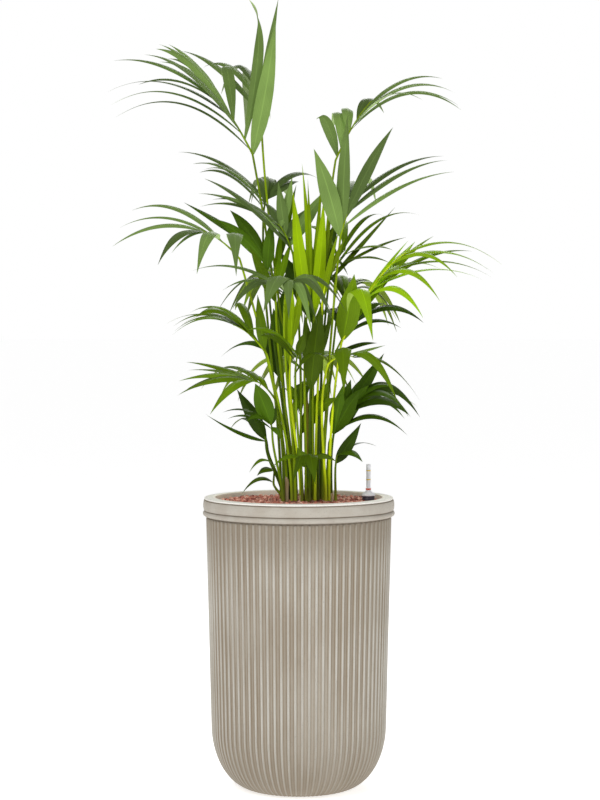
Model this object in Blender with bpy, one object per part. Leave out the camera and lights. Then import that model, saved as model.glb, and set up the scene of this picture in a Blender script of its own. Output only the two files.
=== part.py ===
"""A kentia palm clump in a tall fluted planter: planter, clay granules, water gauge, stems and fronds.

Metres, +Z up. The origin is the centre of the planter's flat underside. +Y is the back, -Y the front.
"""

import math
import random
from dataclasses import dataclass

import bmesh
import bpy
from mathutils import Vector
from mathutils.bvhtree import BVHTree

# Planter
POT_HEIGHT = 0.716
BASE_RADIUS = 0.115
CORNER_HEIGHT = 0.157
WALL_RADIUS = 0.2155  # over the ribs, where the round foot ends
WALL_TOP, WALL_TOP_RADIUS = 0.6655, 0.2278  # where the ribs end, under the rim
FOOT_STEPS = 4
RIB_COUNT = 82
RIB_SHARE = 0.24  # half a rib's width as a share of the pitch
RIB_HEIGHT = 0.0040  # at the full radius; ribs shrink with the radius towards the foot
INNER_RADIUS = 0.205
FLOOR_THICKNESS = 0.040
CAVITY_FLOOR_RADIUS = 0.098
# Rim, from the recess over the ribs to the lip
RECESS_RADIUS = 0.2225
BEAD_LOW, BEAD_HIGH, BEAD_RADIUS = 0.6700, 0.6830, 0.2358
BAND_LOW, BAND_HIGH, BAND_RADIUS = 0.6845, 0.7095, 0.2345
LIP_LOW, LIP_RADIUS = 0.7110, 0.2322
GROOVE_DEPTH = 0.0022
EDGE_ROUND = 0.0025
CAVITY_STEPS = 4

# Granules
FILL_TOP = 0.708
GAP = 0.0003  # between faces that meet

# Water gauge
GAUGE_PLACE = (0.171, -0.005)
GAUGE_BASE = (0.0155, 0.0100)  # radius, height
GAUGE_DOME_RADIUS, GAUGE_DOME_HEIGHT = 0.0175, 0.0135
GAUGE_TUBE = (0.0052, 0.0038, 0.0640)  # outer and inner radius, length above the dome
FLOAT_BEAD_RADIUS, FLOAT_ROD_RADIUS = 0.0030, 0.0011
GAUGE_RIM_HEIGHT = 0.003
GAUGE_SIDES, FLOAT_SIDES = 20, 10

# Stems and leaf stalks
STEM_SIDES = 8
STEM_FLARE = (1.35, 1.05, 1, 1, 1, 1)  # from the foot up
STEM_LEAN = 0.4  # how far up a stem stays upright, as a share of its length
STALK_SIDES = 4
STALK_RADIUS = (0.0034, 0.0026, 0.0010)  # at the foot, the neck and the end of the rib
STALK_STEPS, RIB_STEPS = 6, 3
STALK_UPRIGHT = 1.5  # how much a stalk stays upright where its rib begins

# Leaflets, as shares of their length and their width
LEAF_STATIONS = ((0.0, 0.12), (0.28, 0.96), (0.68, 0.76))
LEAF_THICKNESS = 0.0101  # of the length
LEAF_MIN_THICKNESS = 0.0022
LEAF_CLEARANCE = 0.0012
SCRAP_VOLUME = 1e-9  # a loose scrap or a sealed hollow
TIP_JITTER = 0.010
TWIST = math.radians(22)
DEPTH_TRIES = (0, 0.02, -0.02, 0.04, -0.04, 0.065, -0.065, 0.1, -0.1, 0.15, -0.15)

# Places are given as they show from the eye on the upright plane through the axis, with their depth.
EYE_DISTANCE, EYE_HEIGHT = 5.0, 1.13

# Which way a leaflet's upper face looks
UP = Vector((0, 0, 1))
RIGHT = Vector((1, 0, 0))
LEVEL = Vector((0, -0.5, 0.87))
FRONT = Vector((0, -1, 0.25))
TILTED = Vector((0, -0.6, 0.8))


@dataclass
class Leaf:
    """A leaflet: where on the rib it grows (0 neck, 1 end), its tip, its rise over the chord, its width,
    where its knee is, and how far the knee leans to the right."""

    at: float
    tip: tuple
    rise: float
    width: float
    knee: float = 0.5
    lean: float = 0.0


@dataclass
class Fan:
    """A run of leaflets along the rib that sweeps from its first to its last, with one facing."""

    facing: Vector
    count: int
    first: Leaf
    last: Leaf = None


@dataclass
class Frond:
    """A frond: the foot of its stalk on the granules, the neck where its leaflets begin, the end of its
    rib, and its fans of leaflets."""

    name: str
    foot: tuple
    neck: tuple
    end: tuple
    fans: tuple
    tone: str = "mid"
    rib_rise: float = 0.012
    girth: float = 1.0
    solver: str = "EXACT"


def one(facing, at, tip, rise, width, knee=0.5, lean=0.0):
    return Fan(facing, 1, Leaf(at, tip, rise, width, knee, lean))


def fan(facing, count, first, last):
    return Fan(facing, count, Leaf(*first), Leaf(*last))


TONES = {
    "grey": (0.130, 0.225, 0.085),
    "mid": (0.075, 0.170, 0.035),
    "dark": (0.030, 0.080, 0.012),
    "green": (0.080, 0.210, 0.012),
    "bright": (0.260, 0.430, 0.012),
    "fresh": (0.380, 0.540, 0.010),
}

# name: (place on the granules, place of the top, radius at the foot, radius at the top)
STEMS = {
    "stem_left": ((-0.032, -0.002), (-0.044, 0.004, 0.900), 0.0050, 0.0038),
    "stem_mid_left": ((-0.009, -0.011), (-0.012, -0.010, 0.960), 0.0050, 0.0038),
    "stem_centre": ((0.021, -0.005), (0.020, -0.008, 0.960), 0.0074, 0.0048),
    "stem_mid_right": ((0.046, -0.005), (0.048, -0.006, 0.930), 0.0050, 0.0038),
    "stem_right": ((0.069, -0.002), (0.076, 0.000, 0.860), 0.0048, 0.0036),
}

FRONDS = (
    Frond("crown_left", (-0.027, 0.022), (-0.113, 0.020, 1.555), (-0.250, 0.030, 1.740), (
        fan(LEVEL, 3,
            (0.04, (-0.447, 0.06, 1.645), 0.074, 0.014), (0.36, (-0.468, 0.12, 1.706), 0.056, 0.014)),
        one(LEVEL, 0.50, (-0.452, 0.17, 1.782), 0.040, 0.014),
        fan(TILTED, 4,
            (0.24, (-0.376, -0.06, 1.797), 0.044, 0.025), (0.62, (-0.318, 0.10, 1.822), 0.022, 0.022)),
        one(LEVEL, 0.45, (-0.392, -0.12, 1.724), 0.040, 0.014),
        one(FRONT, 0.00, (-0.056, -0.04, 1.880), -0.004, 0.037),
        one(FRONT, 0.14, (-0.121, -0.02, 1.930), 0.004, 0.024, 0.8, 0.028),
        one(FRONT, 0.34, (-0.188, 0.20, 1.742), 0.060, 0.026, 0.7),
    ), "grey", rib_rise=0.022),
    Frond("crown_back", (-0.011, 0.050), (-0.090, 0.092, 1.600), (-0.118, 0.210, 1.740), (
        one(FRONT, 0.10, (-0.050, 0.10, 1.932), 0.0, 0.022),
        fan(LEVEL, 2,
            (0.35, (-0.286, 0.34, 1.806), 0.030, 0.018), (0.90, (-0.190, 0.42, 1.700), 0.060, 0.022)),
        fan(UP, 3,
            (0.40, (-0.070, 0.46, 1.640), 0.090, 0.024), (1.00, (-0.130, 0.50, 1.600), 0.080, 0.024)),
    ), "grey"),
    Frond("right_high", (0.057, 0.037), (0.090, 0.060, 1.540), (0.178, 0.100, 1.685), (
        one(FRONT, 0.05, (0.043, 0.09, 1.640), 0.034, 0.022, 0.6),
        one(UP, 0.16, (0.078, 0.26, 1.600), 0.078, 0.022, 0.2),
        one(UP, 0.36, (0.116, 0.28, 1.600), 0.066, 0.022, 0.2),
        one(TILTED, 0.60, (0.208, 0.20, 1.655), 0.045, 0.020, 0.4),
        fan(LEVEL, 5,
            (0.40, (0.396, -0.02, 1.663), 0.066, 0.013), (0.72, (0.353, 0.13, 1.738), 0.036, 0.013)),
        one(LEVEL, 0.50, (0.303, -0.10, 1.686), 0.044, 0.014),
    ), "grey", rib_rise=0.014),
    Frond("right_fan", (0.061, -0.011), (0.102, -0.030, 1.355), (0.140, -0.020, 1.455), (
        one(FRONT, 0.00, (0.037, -0.09, 1.568), 0.010, 0.034),
        one(FRONT, 0.12, (0.120, -0.05, 1.655), 0.0, 0.024),
        one(FRONT, 0.36, (0.230, -0.07, 1.620), 0.010, 0.022),
        fan(LEVEL, 3,
            (0.15, (0.380, 0.02, 1.512), 0.030, 0.015), (0.75, (0.355, 0.12, 1.550), 0.030, 0.016)),
        fan(UP, 3,
            (0.40, (0.070, 0.30, 1.440), 0.060, 0.022), (1.00, (0.190, 0.30, 1.430), 0.060, 0.018)),
    ), "grey"),
    Frond("right_dark", (0.050, 0.028), (0.074, 0.045, 1.245), (0.112, 0.080, 1.320), (
        fan(LEVEL, 2,
            (0.15, (0.296, 0.08, 1.406), 0.056, 0.014), (0.50, (0.208, 0.16, 1.405), 0.042, 0.013)),
        one(TILTED, 0.00, (0.236, -0.01, 1.426), 0.0, 0.019),
        fan(LEVEL, 2,
            (0.55, (0.230, -0.08, 1.321), 0.020, 0.016), (0.30, (0.222, -0.13, 1.290), 0.020, 0.012)),
        fan(UP, 2,
            (0.60, (-0.010, 0.24, 1.340), 0.060, 0.020), (1.00, (0.100, 0.32, 1.350), 0.060, 0.020)),
    ), "mid"),
    Frond("right_bright", (0.074, -0.024), (0.105, -0.060, 1.095), (0.263, -0.060, 1.315), (
        one(UP, 0.14, (0.182, -0.20, 1.100), 0.100, 0.044, 0.3),
        one(FRONT, 0.02, (0.136, -0.10, 1.262), 0.0, 0.048),
        fan(TILTED, 3,
            (0.30, (0.305, -0.19, 1.155), 0.056, 0.020), (0.74, (0.388, -0.11, 1.255), 0.044, 0.016)),
        fan(LEVEL, 4,
            (0.45, (0.452, -0.03, 1.248), 0.038, 0.014), (0.90, (0.498, 0.04, 1.285), 0.046, 0.014)),
        fan(TILTED, 3,
            (0.10, (0.330, 0.07, 1.355), 0.030, 0.024), (0.55, (0.285, 0.14, 1.342), 0.0, 0.020)),
        one(LEVEL, 0.60, (0.345, 0.16, 1.275), 0.026, 0.012),
    ), "bright", rib_rise=0.030),
    Frond("new_left", (0.018, -0.021), (0.016, -0.038, 1.120), (0.030, -0.030, 1.220), (
        one(FRONT, 0.40, (-0.015, -0.06, 1.466), 0.0, 0.027),
        one(FRONT, 0.75, (0.008, -0.01, 1.532), 0.0, 0.012),
        fan(FRONT, 2,
            (0.90, (0.022, -0.02, 1.494), 0.0, 0.010), (1.00, (0.056, 0.01, 1.500), 0.0, 0.011)),
    ), "fresh"),
    Frond("new_mid", (0.035, -0.012), (0.038, -0.034, 1.150), (0.048, -0.030, 1.230), (
        one(FRONT, 0.10, (0.061, -0.05, 1.447), 0.0, 0.025),
        fan(FRONT, 2,
            (0.60, (0.081, -0.03, 1.433), 0.0, 0.012), (0.95, (0.092, 0.00, 1.405), 0.0, 0.012)),
    ), "fresh"),
    Frond("new_right", (0.040, -0.020), (0.056, -0.050, 1.180), (0.070, -0.056, 1.250), (
        fan(FRONT, 2,
            (0.10, (0.098, -0.07, 1.368), 0.0, 0.013), (0.80, (0.114, -0.06, 1.352), 0.0, 0.012)),
    ), "fresh"),
    Frond("new_low", (0.005, -0.023), (-0.022, -0.056, 1.020), (-0.018, -0.058, 1.100), (
        fan(FRONT, 3,
            (0.10, (-0.030, -0.06, 1.252), 0.0, 0.017), (0.90, (0.006, -0.07, 1.236), 0.0, 0.018)),
    ), "fresh"),
    Frond("left_long", (-0.029, -0.014), (-0.145, -0.020, 1.300), (-0.236, -0.010, 1.367), (
        fan(LEVEL, 3,
            (0.45, (-0.410, 0.13, 1.417), 0.044, 0.015), (1.00, (-0.456, 0.02, 1.330), 0.030, 0.017)),
        fan(TILTED, 3,
            (1.00, (-0.345, -0.14, 1.285), 0.034, 0.026, 0.6),
            (0.12, (-0.153, -0.24, 1.258), 0.074, 0.036, 0.5)),
        one(LEVEL, 0.85, (-0.312, -0.05, 1.313), 0.020, 0.012),
    ), "grey", rib_rise=0.010),
    Frond("left_high", (-0.044, 0.036), (-0.086, 0.046, 1.415), (-0.074, 0.120, 1.450), (
        fan(LEVEL, 3,
            (0.08, (-0.243, 0.00, 1.510), 0.038, 0.015), (0.50, (-0.296, 0.16, 1.560), 0.032, 0.015)),
        fan(UP, 2,
            (0.20, (-0.124, 0.26, 1.430), 0.066, 0.018, 0.2),
            (0.40, (-0.098, 0.32, 1.430), 0.066, 0.018, 0.2)),
        one(UP, 0.70, (-0.044, 0.34, 1.430), 0.056, 0.024, 0.2),
        one(TILTED, 0.50, (0.000, 0.18, 1.488), 0.014, 0.028),
        one(TILTED, 0.60, (0.057, 0.24, 1.488), 0.040, 0.020),
        one(UP, 1.00, (-0.006, 0.36, 1.420), 0.050, 0.026, 0.3),
    ), "grey"),
    Frond("left_mid", (0.005, -0.008), (-0.014, -0.026, 1.310), (-0.052, -0.040, 1.385), (
        fan(TILTED, 3,
            (0.12, (-0.230, -0.12, 1.495), 0.024, 0.019), (0.95, (-0.241, 0.01, 1.427), 0.026, 0.015)),
        one(TILTED, 0.10, (-0.086, 0.05, 1.436), 0.022, 0.024, 0.6),
        one(TILTED, 0.20, (0.070, 0.09, 1.470), 0.008, 0.030),
        one(FRONT, 0.40, (0.022, 0.08, 1.424), 0.0, 0.028),
    ), "grey"),
    Frond("left_dark", (-0.022, 0.004), (-0.075, 0.000, 1.250), (-0.090, 0.002, 1.320), (
        one(FRONT, 0.60, (-0.168, -0.02, 1.418), 0.010, 0.030),
        one(FRONT, 0.20, (-0.066, -0.03, 1.398), 0.0, 0.026),
        one(TILTED, 0.90, (-0.281, 0.10, 1.437), 0.006, 0.020),
    ), "dark"),
    Frond("left_bright", (-0.013, 0.010), (-0.056, 0.010, 1.180), (-0.058, 0.020, 1.280), (
        one(FRONT, 0.10, (-0.120, -0.085, 1.330), 0.004, 0.024),
        one(FRONT, 0.45, (-0.040, 0.03, 1.376), 0.0, 0.015),
        one(FRONT, 0.30, (-0.016, -0.02, 1.348), 0.0, 0.016),
        one(FRONT, 0.90, (-0.006, 0.06, 1.480), 0.0, 0.020),
    ), "green"),
    Frond("mid_front", (-0.008, -0.030), (-0.036, -0.075, 1.165), (-0.032, -0.150, 1.226), (
        one(LEVEL, 0.80, (-0.262, -0.05, 1.270), 0.034, 0.014),
        one(LEVEL, 0.60, (-0.187, -0.12, 1.222), 0.030, 0.018),
        one(TILTED, 0.70, (-0.162, -0.24, 1.178), 0.044, 0.024),
        one(UP, 0.90, (-0.086, -0.34, 1.170), 0.050, 0.044, 0.3),
        one(UP, 0.80, (-0.024, -0.36, 1.150), 0.050, 0.026, 0.3),
        fan(TILTED, 3,
            (0.85, (0.031, -0.31, 1.124), 0.054, 0.022), (1.00, (0.118, -0.18, 1.166), 0.056, 0.018)),
    ), "grey", solver="MANIFOLD"),
    Frond("left_arch", (-0.017, -0.034), (-0.078, -0.050, 1.065), (-0.161, -0.070, 1.138), (
        fan(LEVEL, 3,
            (0.90, (-0.312, -0.04, 1.111), 0.032, 0.014), (0.60, (-0.324, 0.08, 1.141), 0.034, 0.013)),
        fan(TILTED, 2,
            (0.60, (-0.252, -0.17, 1.157), 0.034, 0.026), (0.15, (-0.266, -0.06, 1.168), 0.050, 0.024)),
        one(LEVEL, 0.40, (-0.156, 0.06, 1.174), 0.040, 0.022, 0.7),
        one(FRONT, 0.08, (-0.101, -0.01, 1.212), 0.0, 0.024),
    ), "mid", solver="MANIFOLD"),
    Frond("low_mid", (0.008, -0.039), (-0.008, -0.090, 1.030), (0.000, -0.110, 1.064), (
        fan(TILTED, 2,
            (0.20, (-0.094, -0.19, 1.111), 0.024, 0.025), (0.70, (-0.130, -0.13, 1.124), 0.026, 0.017)),
        one(FRONT, 0.66, (0.014, -0.13, 1.120), 0.0, 0.020),
    ), "mid"),
    Frond("centre_dark", (0.027, -0.025), (0.028, -0.062, 0.970), (0.036, -0.060, 1.050), (
        one(FRONT, 0.10, (0.054, -0.08, 1.188), 0.0, 0.042),
        one(FRONT, 0.40, (0.014, -0.05, 1.166), 0.0, 0.026),
        one(FRONT, 0.80, (0.082, -0.05, 1.156), 0.0, 0.026),
    ), "dark"),
    Frond("inner_back", (0.029, 0.036), (0.034, 0.060, 1.130), (0.036, 0.080, 1.230), (
        fan(FRONT, 4,
            (0.10, (-0.050, 0.12, 1.320), 0.016, 0.034), (0.90, (0.098, 0.13, 1.400), 0.010, 0.034)),
        fan(UP, 2,
            (0.60, (-0.060, 0.30, 1.260), 0.060, 0.028), (1.00, (0.120, 0.34, 1.260), 0.060, 0.028)),
    ), "dark"),
    Frond("inner_left", (-0.011, 0.022), (-0.040, 0.040, 0.990), (-0.052, 0.050, 1.090), (
        fan(FRONT, 3,
            (0.10, (-0.100, 0.02, 1.130), 0.012, 0.034), (0.90, (-0.030, 0.06, 1.240), 0.0, 0.034)),
        one(LEVEL, 0.50, (-0.190, 0.12, 1.060), 0.040, 0.024),
    ), "dark"),
    Frond("low_centre", (0.009, 0.018), (0.004, 0.020, 0.860), (0.007, 0.000, 0.940), (
        one(FRONT, 0.10, (0.076, -0.05, 1.004), 0.0, 0.036),
        fan(TILTED, 3,
            (0.50, (-0.046, -0.06, 0.990), 0.016, 0.022), (1.00, (0.030, 0.11, 0.980), 0.040, 0.022)),
    ), "dark"),
    Frond("right_mid", (0.066, -0.034), (0.072, -0.076, 1.042), (0.136, -0.130, 1.058), (
        one(TILTED, 0.05, (-0.014, -0.20, 1.006), 0.042, 0.016),
        one(TILTED, 0.20, (0.106, -0.22, 1.017), 0.030, 0.018),
        one(UP, 0.60, (0.111, -0.30, 0.968), 0.046, 0.036, 0.3),
        fan(TILTED, 2,
            (0.75, (0.243, -0.17, 0.948), 0.044, 0.022), (1.00, (0.299, -0.06, 0.950), 0.038, 0.014)),
        one(LEVEL, 0.70, (0.212, 0.00, 1.088), 0.0, 0.012),
        one(LEVEL, 0.95, (0.196, 0.06, 1.050), 0.016, 0.013),
    ), "mid", solver="MANIFOLD"),
    Frond("right_low", (0.080, -0.014), (0.086, -0.022, 0.870), (0.150, -0.040, 0.964), (
        one(TILTED, 0.02, (0.267, -0.08, 0.867), 0.046, 0.020),
        fan(TILTED, 3,
            (0.30, (0.272, -0.13, 0.916), 0.044, 0.026), (0.95, (0.297, 0.00, 0.912), 0.050, 0.024)),
        one(LEVEL, 0.80, (0.291, 0.09, 0.937), 0.030, 0.016),
        fan(FRONT, 2,
            (0.05, (0.172, -0.06, 0.990), 0.006, 0.034), (0.25, (0.128, -0.05, 1.004), 0.0, 0.028)),
        fan(LEVEL, 2,
            (0.60, (0.206, 0.06, 0.996), 0.010, 0.018), (0.40, (0.170, 0.10, 1.012), 0.020, 0.018)),
        one(FRONT, 0.70, (0.209, 0.00, 1.068), 0.0, 0.024),
    ), "dark", solver="MANIFOLD"),
    Frond("right_arch", (0.055, 0.020), (0.086, 0.030, 1.060), (0.142, 0.040, 1.150), (
        one(TILTED, 0.05, (0.192, -0.03, 1.093), 0.010, 0.016),
        one(LEVEL, 0.40, (0.251, 0.03, 1.130), 0.030, 0.014),
        one(TILTED, 0.65, (0.306, -0.04, 1.143), 0.046, 0.018),
        one(LEVEL, 1.00, (0.212, 0.08, 1.188), 0.018, 0.022),
        fan(UP, 3,
            (0.50, (0.030, 0.26, 1.120), 0.060, 0.026), (1.00, (0.180, 0.34, 1.120), 0.060, 0.024)),
    ), "dark"),
    Frond("left_low", (-0.037, -0.021), (-0.058, -0.034, 0.955), (-0.116, -0.040, 1.000), (
        fan(TILTED, 3,
            (0.75, (-0.277, 0.04, 1.047), 0.010, 0.016), (1.00, (-0.297, -0.07, 0.965), 0.022, 0.020)),
        one(TILTED, 0.95, (-0.218, -0.16, 0.918), 0.024, 0.022, 0.4),
        fan(UP, 2,
            (0.30, (-0.150, 0.05, 0.950), 0.050, 0.020), (0.70, (-0.240, 0.18, 0.980), 0.050, 0.020)),
    ), "mid"),
    Frond("left_small", (-0.039, -0.044), (-0.065, -0.062, 0.870), (-0.070, -0.070, 0.892), (
        one(FRONT, 0.80, (-0.107, -0.08, 0.994), 0.006, 0.040),
        fan(LEVEL, 2,
            (0.60, (-0.187, -0.13, 0.923), 0.020, 0.017), (0.20, (-0.176, -0.09, 0.907), 0.020, 0.015)),
        one(FRONT, 0.50, (-0.055, -0.06, 0.940), 0.0, 0.014),
        one(TILTED, 0.30, (-0.044, -0.13, 0.856), 0.010, 0.016),
    ), "dark", solver="MANIFOLD"),
    Frond("left_foot", (-0.037, 0.013), (-0.079, 0.010, 0.842), (-0.086, 0.012, 0.858), (
        one(FRONT, 0.30, (-0.152, 0.00, 0.980), 0.0, 0.031),
        one(LEVEL, 0.20, (-0.228, -0.02, 0.918), -0.006, 0.018),
        one(UP, 0.90, (-0.170, 0.16, 0.880), 0.040, 0.022),
    ), "dark", girth=1.6),
    Frond("low_left", (-0.037, -0.031), (-0.062, -0.034, 0.750), (-0.058, -0.050, 0.790), (
        one(LEVEL, 0.80, (-0.122, -0.09, 0.775), 0.026, 0.015),
        one(TILTED, 0.50, (-0.103, -0.07, 0.767), 0.010, 0.022),
        one(LEVEL, 0.00, (-0.141, -0.03, 0.721), 0.024, 0.014),
    ), "mid"),
    Frond("low_front", (0.022, -0.050), (0.022, -0.082, 0.775), (0.020, -0.092, 0.806), (
        one(LEVEL, 0.60, (-0.066, -0.14, 0.787), 0.020, 0.014),
        one(UP, 0.60, (-0.015, -0.19, 0.750), 0.030, 0.024, 0.3),
        one(UP, 0.90, (0.041, -0.20, 0.746), 0.032, 0.034, 0.3),
        one(TILTED, 1.00, (0.092, -0.13, 0.802), 0.014, 0.018),
        one(FRONT, 0.20, (-0.004, -0.07, 0.836), 0.0, 0.028),
    ), "dark"),
    Frond("low_right", (0.090, -0.028), (0.090, -0.044, 0.785), (0.096, -0.050, 0.816), (
        one(FRONT, 0.20, (0.153, -0.05, 0.897), -0.004, 0.027),
        one(LEVEL, 0.90, (0.157, -0.10, 0.801), 0.016, 0.024),
        one(UP, 0.60, (0.190, 0.09, 0.840), 0.020, 0.018),
    ), "dark"),
    Frond("back_low", (0.022, 0.081), (0.020, 0.150, 1.010), (0.022, 0.240, 1.060), (
        fan(UP, 3,
            (0.10, (-0.140, 0.26, 0.990), 0.060, 0.028), (0.90, (-0.060, 0.46, 0.960), 0.060, 0.028)),
        fan(UP, 3,
            (0.20, (0.170, 0.28, 0.990), 0.060, 0.028), (1.00, (0.080, 0.48, 0.960), 0.060, 0.028)),
    ), "mid"),
    Frond("back_mid", (-0.006, 0.081), (-0.034, 0.150, 1.190), (-0.040, 0.260, 1.270), (
        fan(UP, 3,
            (0.10, (-0.200, 0.24, 1.170), 0.070, 0.030), (0.90, (-0.130, 0.50, 1.150), 0.060, 0.030)),
        fan(UP, 3,
            (0.20, (0.110, 0.26, 1.190), 0.070, 0.030), (1.00, (0.010, 0.54, 1.140), 0.060, 0.030)),
    ), "dark"),
    Frond("back_right", (0.061, 0.085), (0.094, 0.160, 1.170), (0.130, 0.260, 1.240), (
        fan(UP, 3,
            (0.10, (0.240, 0.20, 1.150), 0.070, 0.028), (0.90, (0.240, 0.46, 1.120), 0.060, 0.028)),
        fan(UP, 2,
            (0.40, (0.050, 0.36, 1.200), 0.060, 0.028), (1.00, (0.120, 0.52, 1.130), 0.060, 0.028)),
    ), "mid"),
)


def placed(across, depth, height):
    """The place that shows at across and height on the plane through the axis, at its own depth."""
    farther = 1 + depth / EYE_DISTANCE
    return Vector((across * farther, depth, EYE_HEIGHT + (height - EYE_HEIGHT) * farther))


def clear_scene():
    for obj in list(bpy.data.objects):
        bpy.data.objects.remove(obj)


def finish_material(name, colour, roughness, metallic=0.0):
    material = bpy.data.materials.get(name) or bpy.data.materials.new(name)
    material.use_nodes = True
    shader = material.node_tree.nodes["Principled BSDF"]
    shader.inputs["Base Color"].default_value = (*colour, 1)
    shader.inputs["Roughness"].default_value = roughness
    shader.inputs["Metallic"].default_value = metallic
    return material


def loft(rings):
    """A closed bmesh over rings of points; a ring of one point is a pole."""
    mesh = bmesh.new()
    rows = [[mesh.verts.new(point) for point in ring] for ring in rings]
    for low, high in zip(rows, rows[1:]):
        count = max(len(low), len(high))
        for i in range(count):
            j = (i + 1) % count
            if len(low) == 3 * len(high):
                corners = [low[i], low[j], high[j // 3], high[i // 3]]
            else:
                corners = [low[i % len(low)], low[j % len(low)]]
                corners += [high[j % len(high)], high[i % len(high)]]
            mesh.faces.new(list(dict.fromkeys(corners)))
    for row in (rows[0], rows[-1]):
        if len(row) > 2:
            mesh.faces.new(row)
    bmesh.ops.recalc_face_normals(mesh, faces=mesh.faces)
    return mesh


def add_object(name, mesh, material=None):
    data = bpy.data.meshes.new(name)
    mesh.to_mesh(data)
    mesh.free()
    obj = bpy.data.objects.new(name, data)
    bpy.context.scene.collection.objects.link(obj)
    if material:
        data.materials.append(material)
    return obj


def circle(radius, height, sides, centre=(0, 0)):
    if radius == 0:
        return [Vector((*centre, height))]
    turns = [2 * math.pi * i / sides for i in range(sides)]
    x, y = centre
    return [Vector((x + radius * math.sin(a), y - radius * math.cos(a), height)) for a in turns]


def turned(name, profile, sides, material=None, centre=(0, 0)):
    """A turned solid from (radius, height) points, from its lowest middle to its highest."""
    return add_object(name, loft([circle(r, z, sides, centre) for r, z in profile]), material)


def cut(obj, tool):
    modifier = obj.modifiers.new("Cut", "BOOLEAN")
    modifier.operation = "DIFFERENCE"
    modifier.solver = "EXACT"
    modifier.object = tool


def fuse(obj, pieces, solver):
    modifier = obj.modifiers.new("Fuse", "BOOLEAN")
    modifier.operation = "UNION"
    modifier.operand_type = "COLLECTION"
    modifier.solver = solver
    modifier.collection = pieces


def apply_modifiers(obj):
    graph = bpy.context.evaluated_depsgraph_get()
    graph.update()
    applied = bpy.data.meshes.new_from_object(obj.evaluated_get(graph))
    obj.modifiers.clear()
    obj.data = applied


def islands(mesh):
    """The groups of connected faces of a bmesh."""
    left = set(mesh.faces)
    while left:
        group, front = set(), [left.pop()]
        while front:
            face = front.pop()
            group.add(face)
            near = {other for edge in face.edges for other in edge.link_faces} & left
            left -= near
            front.extend(near)
        yield group


def signed_volume(faces):
    total = 0.0
    for face in faces:
        corners = [vert.co for vert in face.verts]
        for b, c in zip(corners[1:], corners[2:]):
            total += corners[0].dot(b.cross(c)) / 6
    return total


def fill_voids(obj):
    """Take out the shells of any hollow that is closed in where leaflets cross, and any loose scrap."""
    mesh = bmesh.new()
    mesh.from_mesh(obj.data)
    bmesh.ops.triangulate(mesh, faces=mesh.faces)
    for group in list(islands(mesh)):
        if signed_volume(group) < SCRAP_VOLUME:
            corners = {vert for face in group for vert in face.verts}
            bmesh.ops.delete(mesh, geom=list(corners), context="VERTS")
    mesh.to_mesh(obj.data)
    mesh.free()


def wall_radius(height):
    """The planter's outer radius over the ribs."""
    if height < CORNER_HEIGHT:
        fallen = 1 - height / CORNER_HEIGHT
        return BASE_RADIUS + (WALL_RADIUS - BASE_RADIUS) * math.sqrt(1 - fallen**2)
    share = (height - CORNER_HEIGHT) / (WALL_TOP - CORNER_HEIGHT)
    return WALL_RADIUS + (WALL_TOP_RADIUS - WALL_RADIUS) * share


def rib_circle(radius, height):
    """A ring with one corner at each rib's crest."""
    if radius == 0:
        return [Vector((0, 0, height))]
    turns = [2 * math.pi * (i + 0.5) / RIB_COUNT for i in range(RIB_COUNT)]
    return [Vector((radius * math.sin(turn), -radius * math.cos(turn), height)) for turn in turns]


def fluted_ring(height):
    """One level of the fluted wall: each rib has a crest and two feet, with flat ground to the next."""
    crest = wall_radius(height)
    ground = crest - RIB_HEIGHT * crest / WALL_RADIUS
    pitch = 2 * math.pi / RIB_COUNT
    points = []
    for i in range(RIB_COUNT):
        for offset, radius in ((-RIB_SHARE, ground), (0, crest), (RIB_SHARE, ground)):
            turn = (i + 0.5 + offset) * pitch
            points.append(Vector((radius * math.sin(turn), -radius * math.cos(turn), height)))
    return points


def cavity_profile(inset):
    """The round inside of the planter, or of the granules in it, as (radius, height) from the floor up."""
    points = []
    for i in range(CAVITY_STEPS + 1):
        turn = i / CAVITY_STEPS * math.pi / 2
        radius = CAVITY_FLOOR_RADIUS + (INNER_RADIUS - CAVITY_FLOOR_RADIUS) * math.sin(turn)
        points.append((radius - inset, FLOOR_THICKNESS + inset + CORNER_HEIGHT * (1 - math.cos(turn))))
    return points


def make_planter():
    material = finish_material("planter", (0.42, 0.38, 0.31), 0.8)
    levels = [CORNER_HEIGHT * (1 - math.cos(math.pi / 2 * i / FOOT_STEPS)) for i in range(FOOT_STEPS + 1)]
    rings = [fluted_ring(z) for z in levels + [WALL_TOP]]
    outline = [
        (RECESS_RADIUS, WALL_TOP + EDGE_ROUND / 2),
        (BEAD_RADIUS - EDGE_ROUND, BEAD_LOW),
        (BEAD_RADIUS, BEAD_LOW + EDGE_ROUND),
        (BEAD_RADIUS, BEAD_HIGH - EDGE_ROUND),
        (BAND_RADIUS - GROOVE_DEPTH, (BEAD_HIGH + BAND_LOW) / 2),
        (BAND_RADIUS, BAND_LOW + EDGE_ROUND),
        (BAND_RADIUS, BAND_HIGH - EDGE_ROUND),
        (LIP_RADIUS - GROOVE_DEPTH, (BAND_HIGH + LIP_LOW) / 2),
        (LIP_RADIUS, LIP_LOW + EDGE_ROUND / 2),
        (LIP_RADIUS - EDGE_ROUND / 2, POT_HEIGHT),
        (INNER_RADIUS, POT_HEIGHT),
        *reversed(cavity_profile(0)),
        (0, FLOOR_THICKNESS),
    ]
    rings += [rib_circle(radius, height) for radius, height in outline]
    return add_object("planter", loft(rings), material)


def make_granules():
    material = finish_material("granules", (0.30, 0.10, 0.065), 0.9)
    top = [(INNER_RADIUS - GAP, FILL_TOP), (0, FILL_TOP)]
    profile = [(0, FLOOR_THICKNESS + GAP), *cavity_profile(GAP), *top]
    return add_object("granules", loft([rib_circle(r, z) for r, z in profile]), material)


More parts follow.
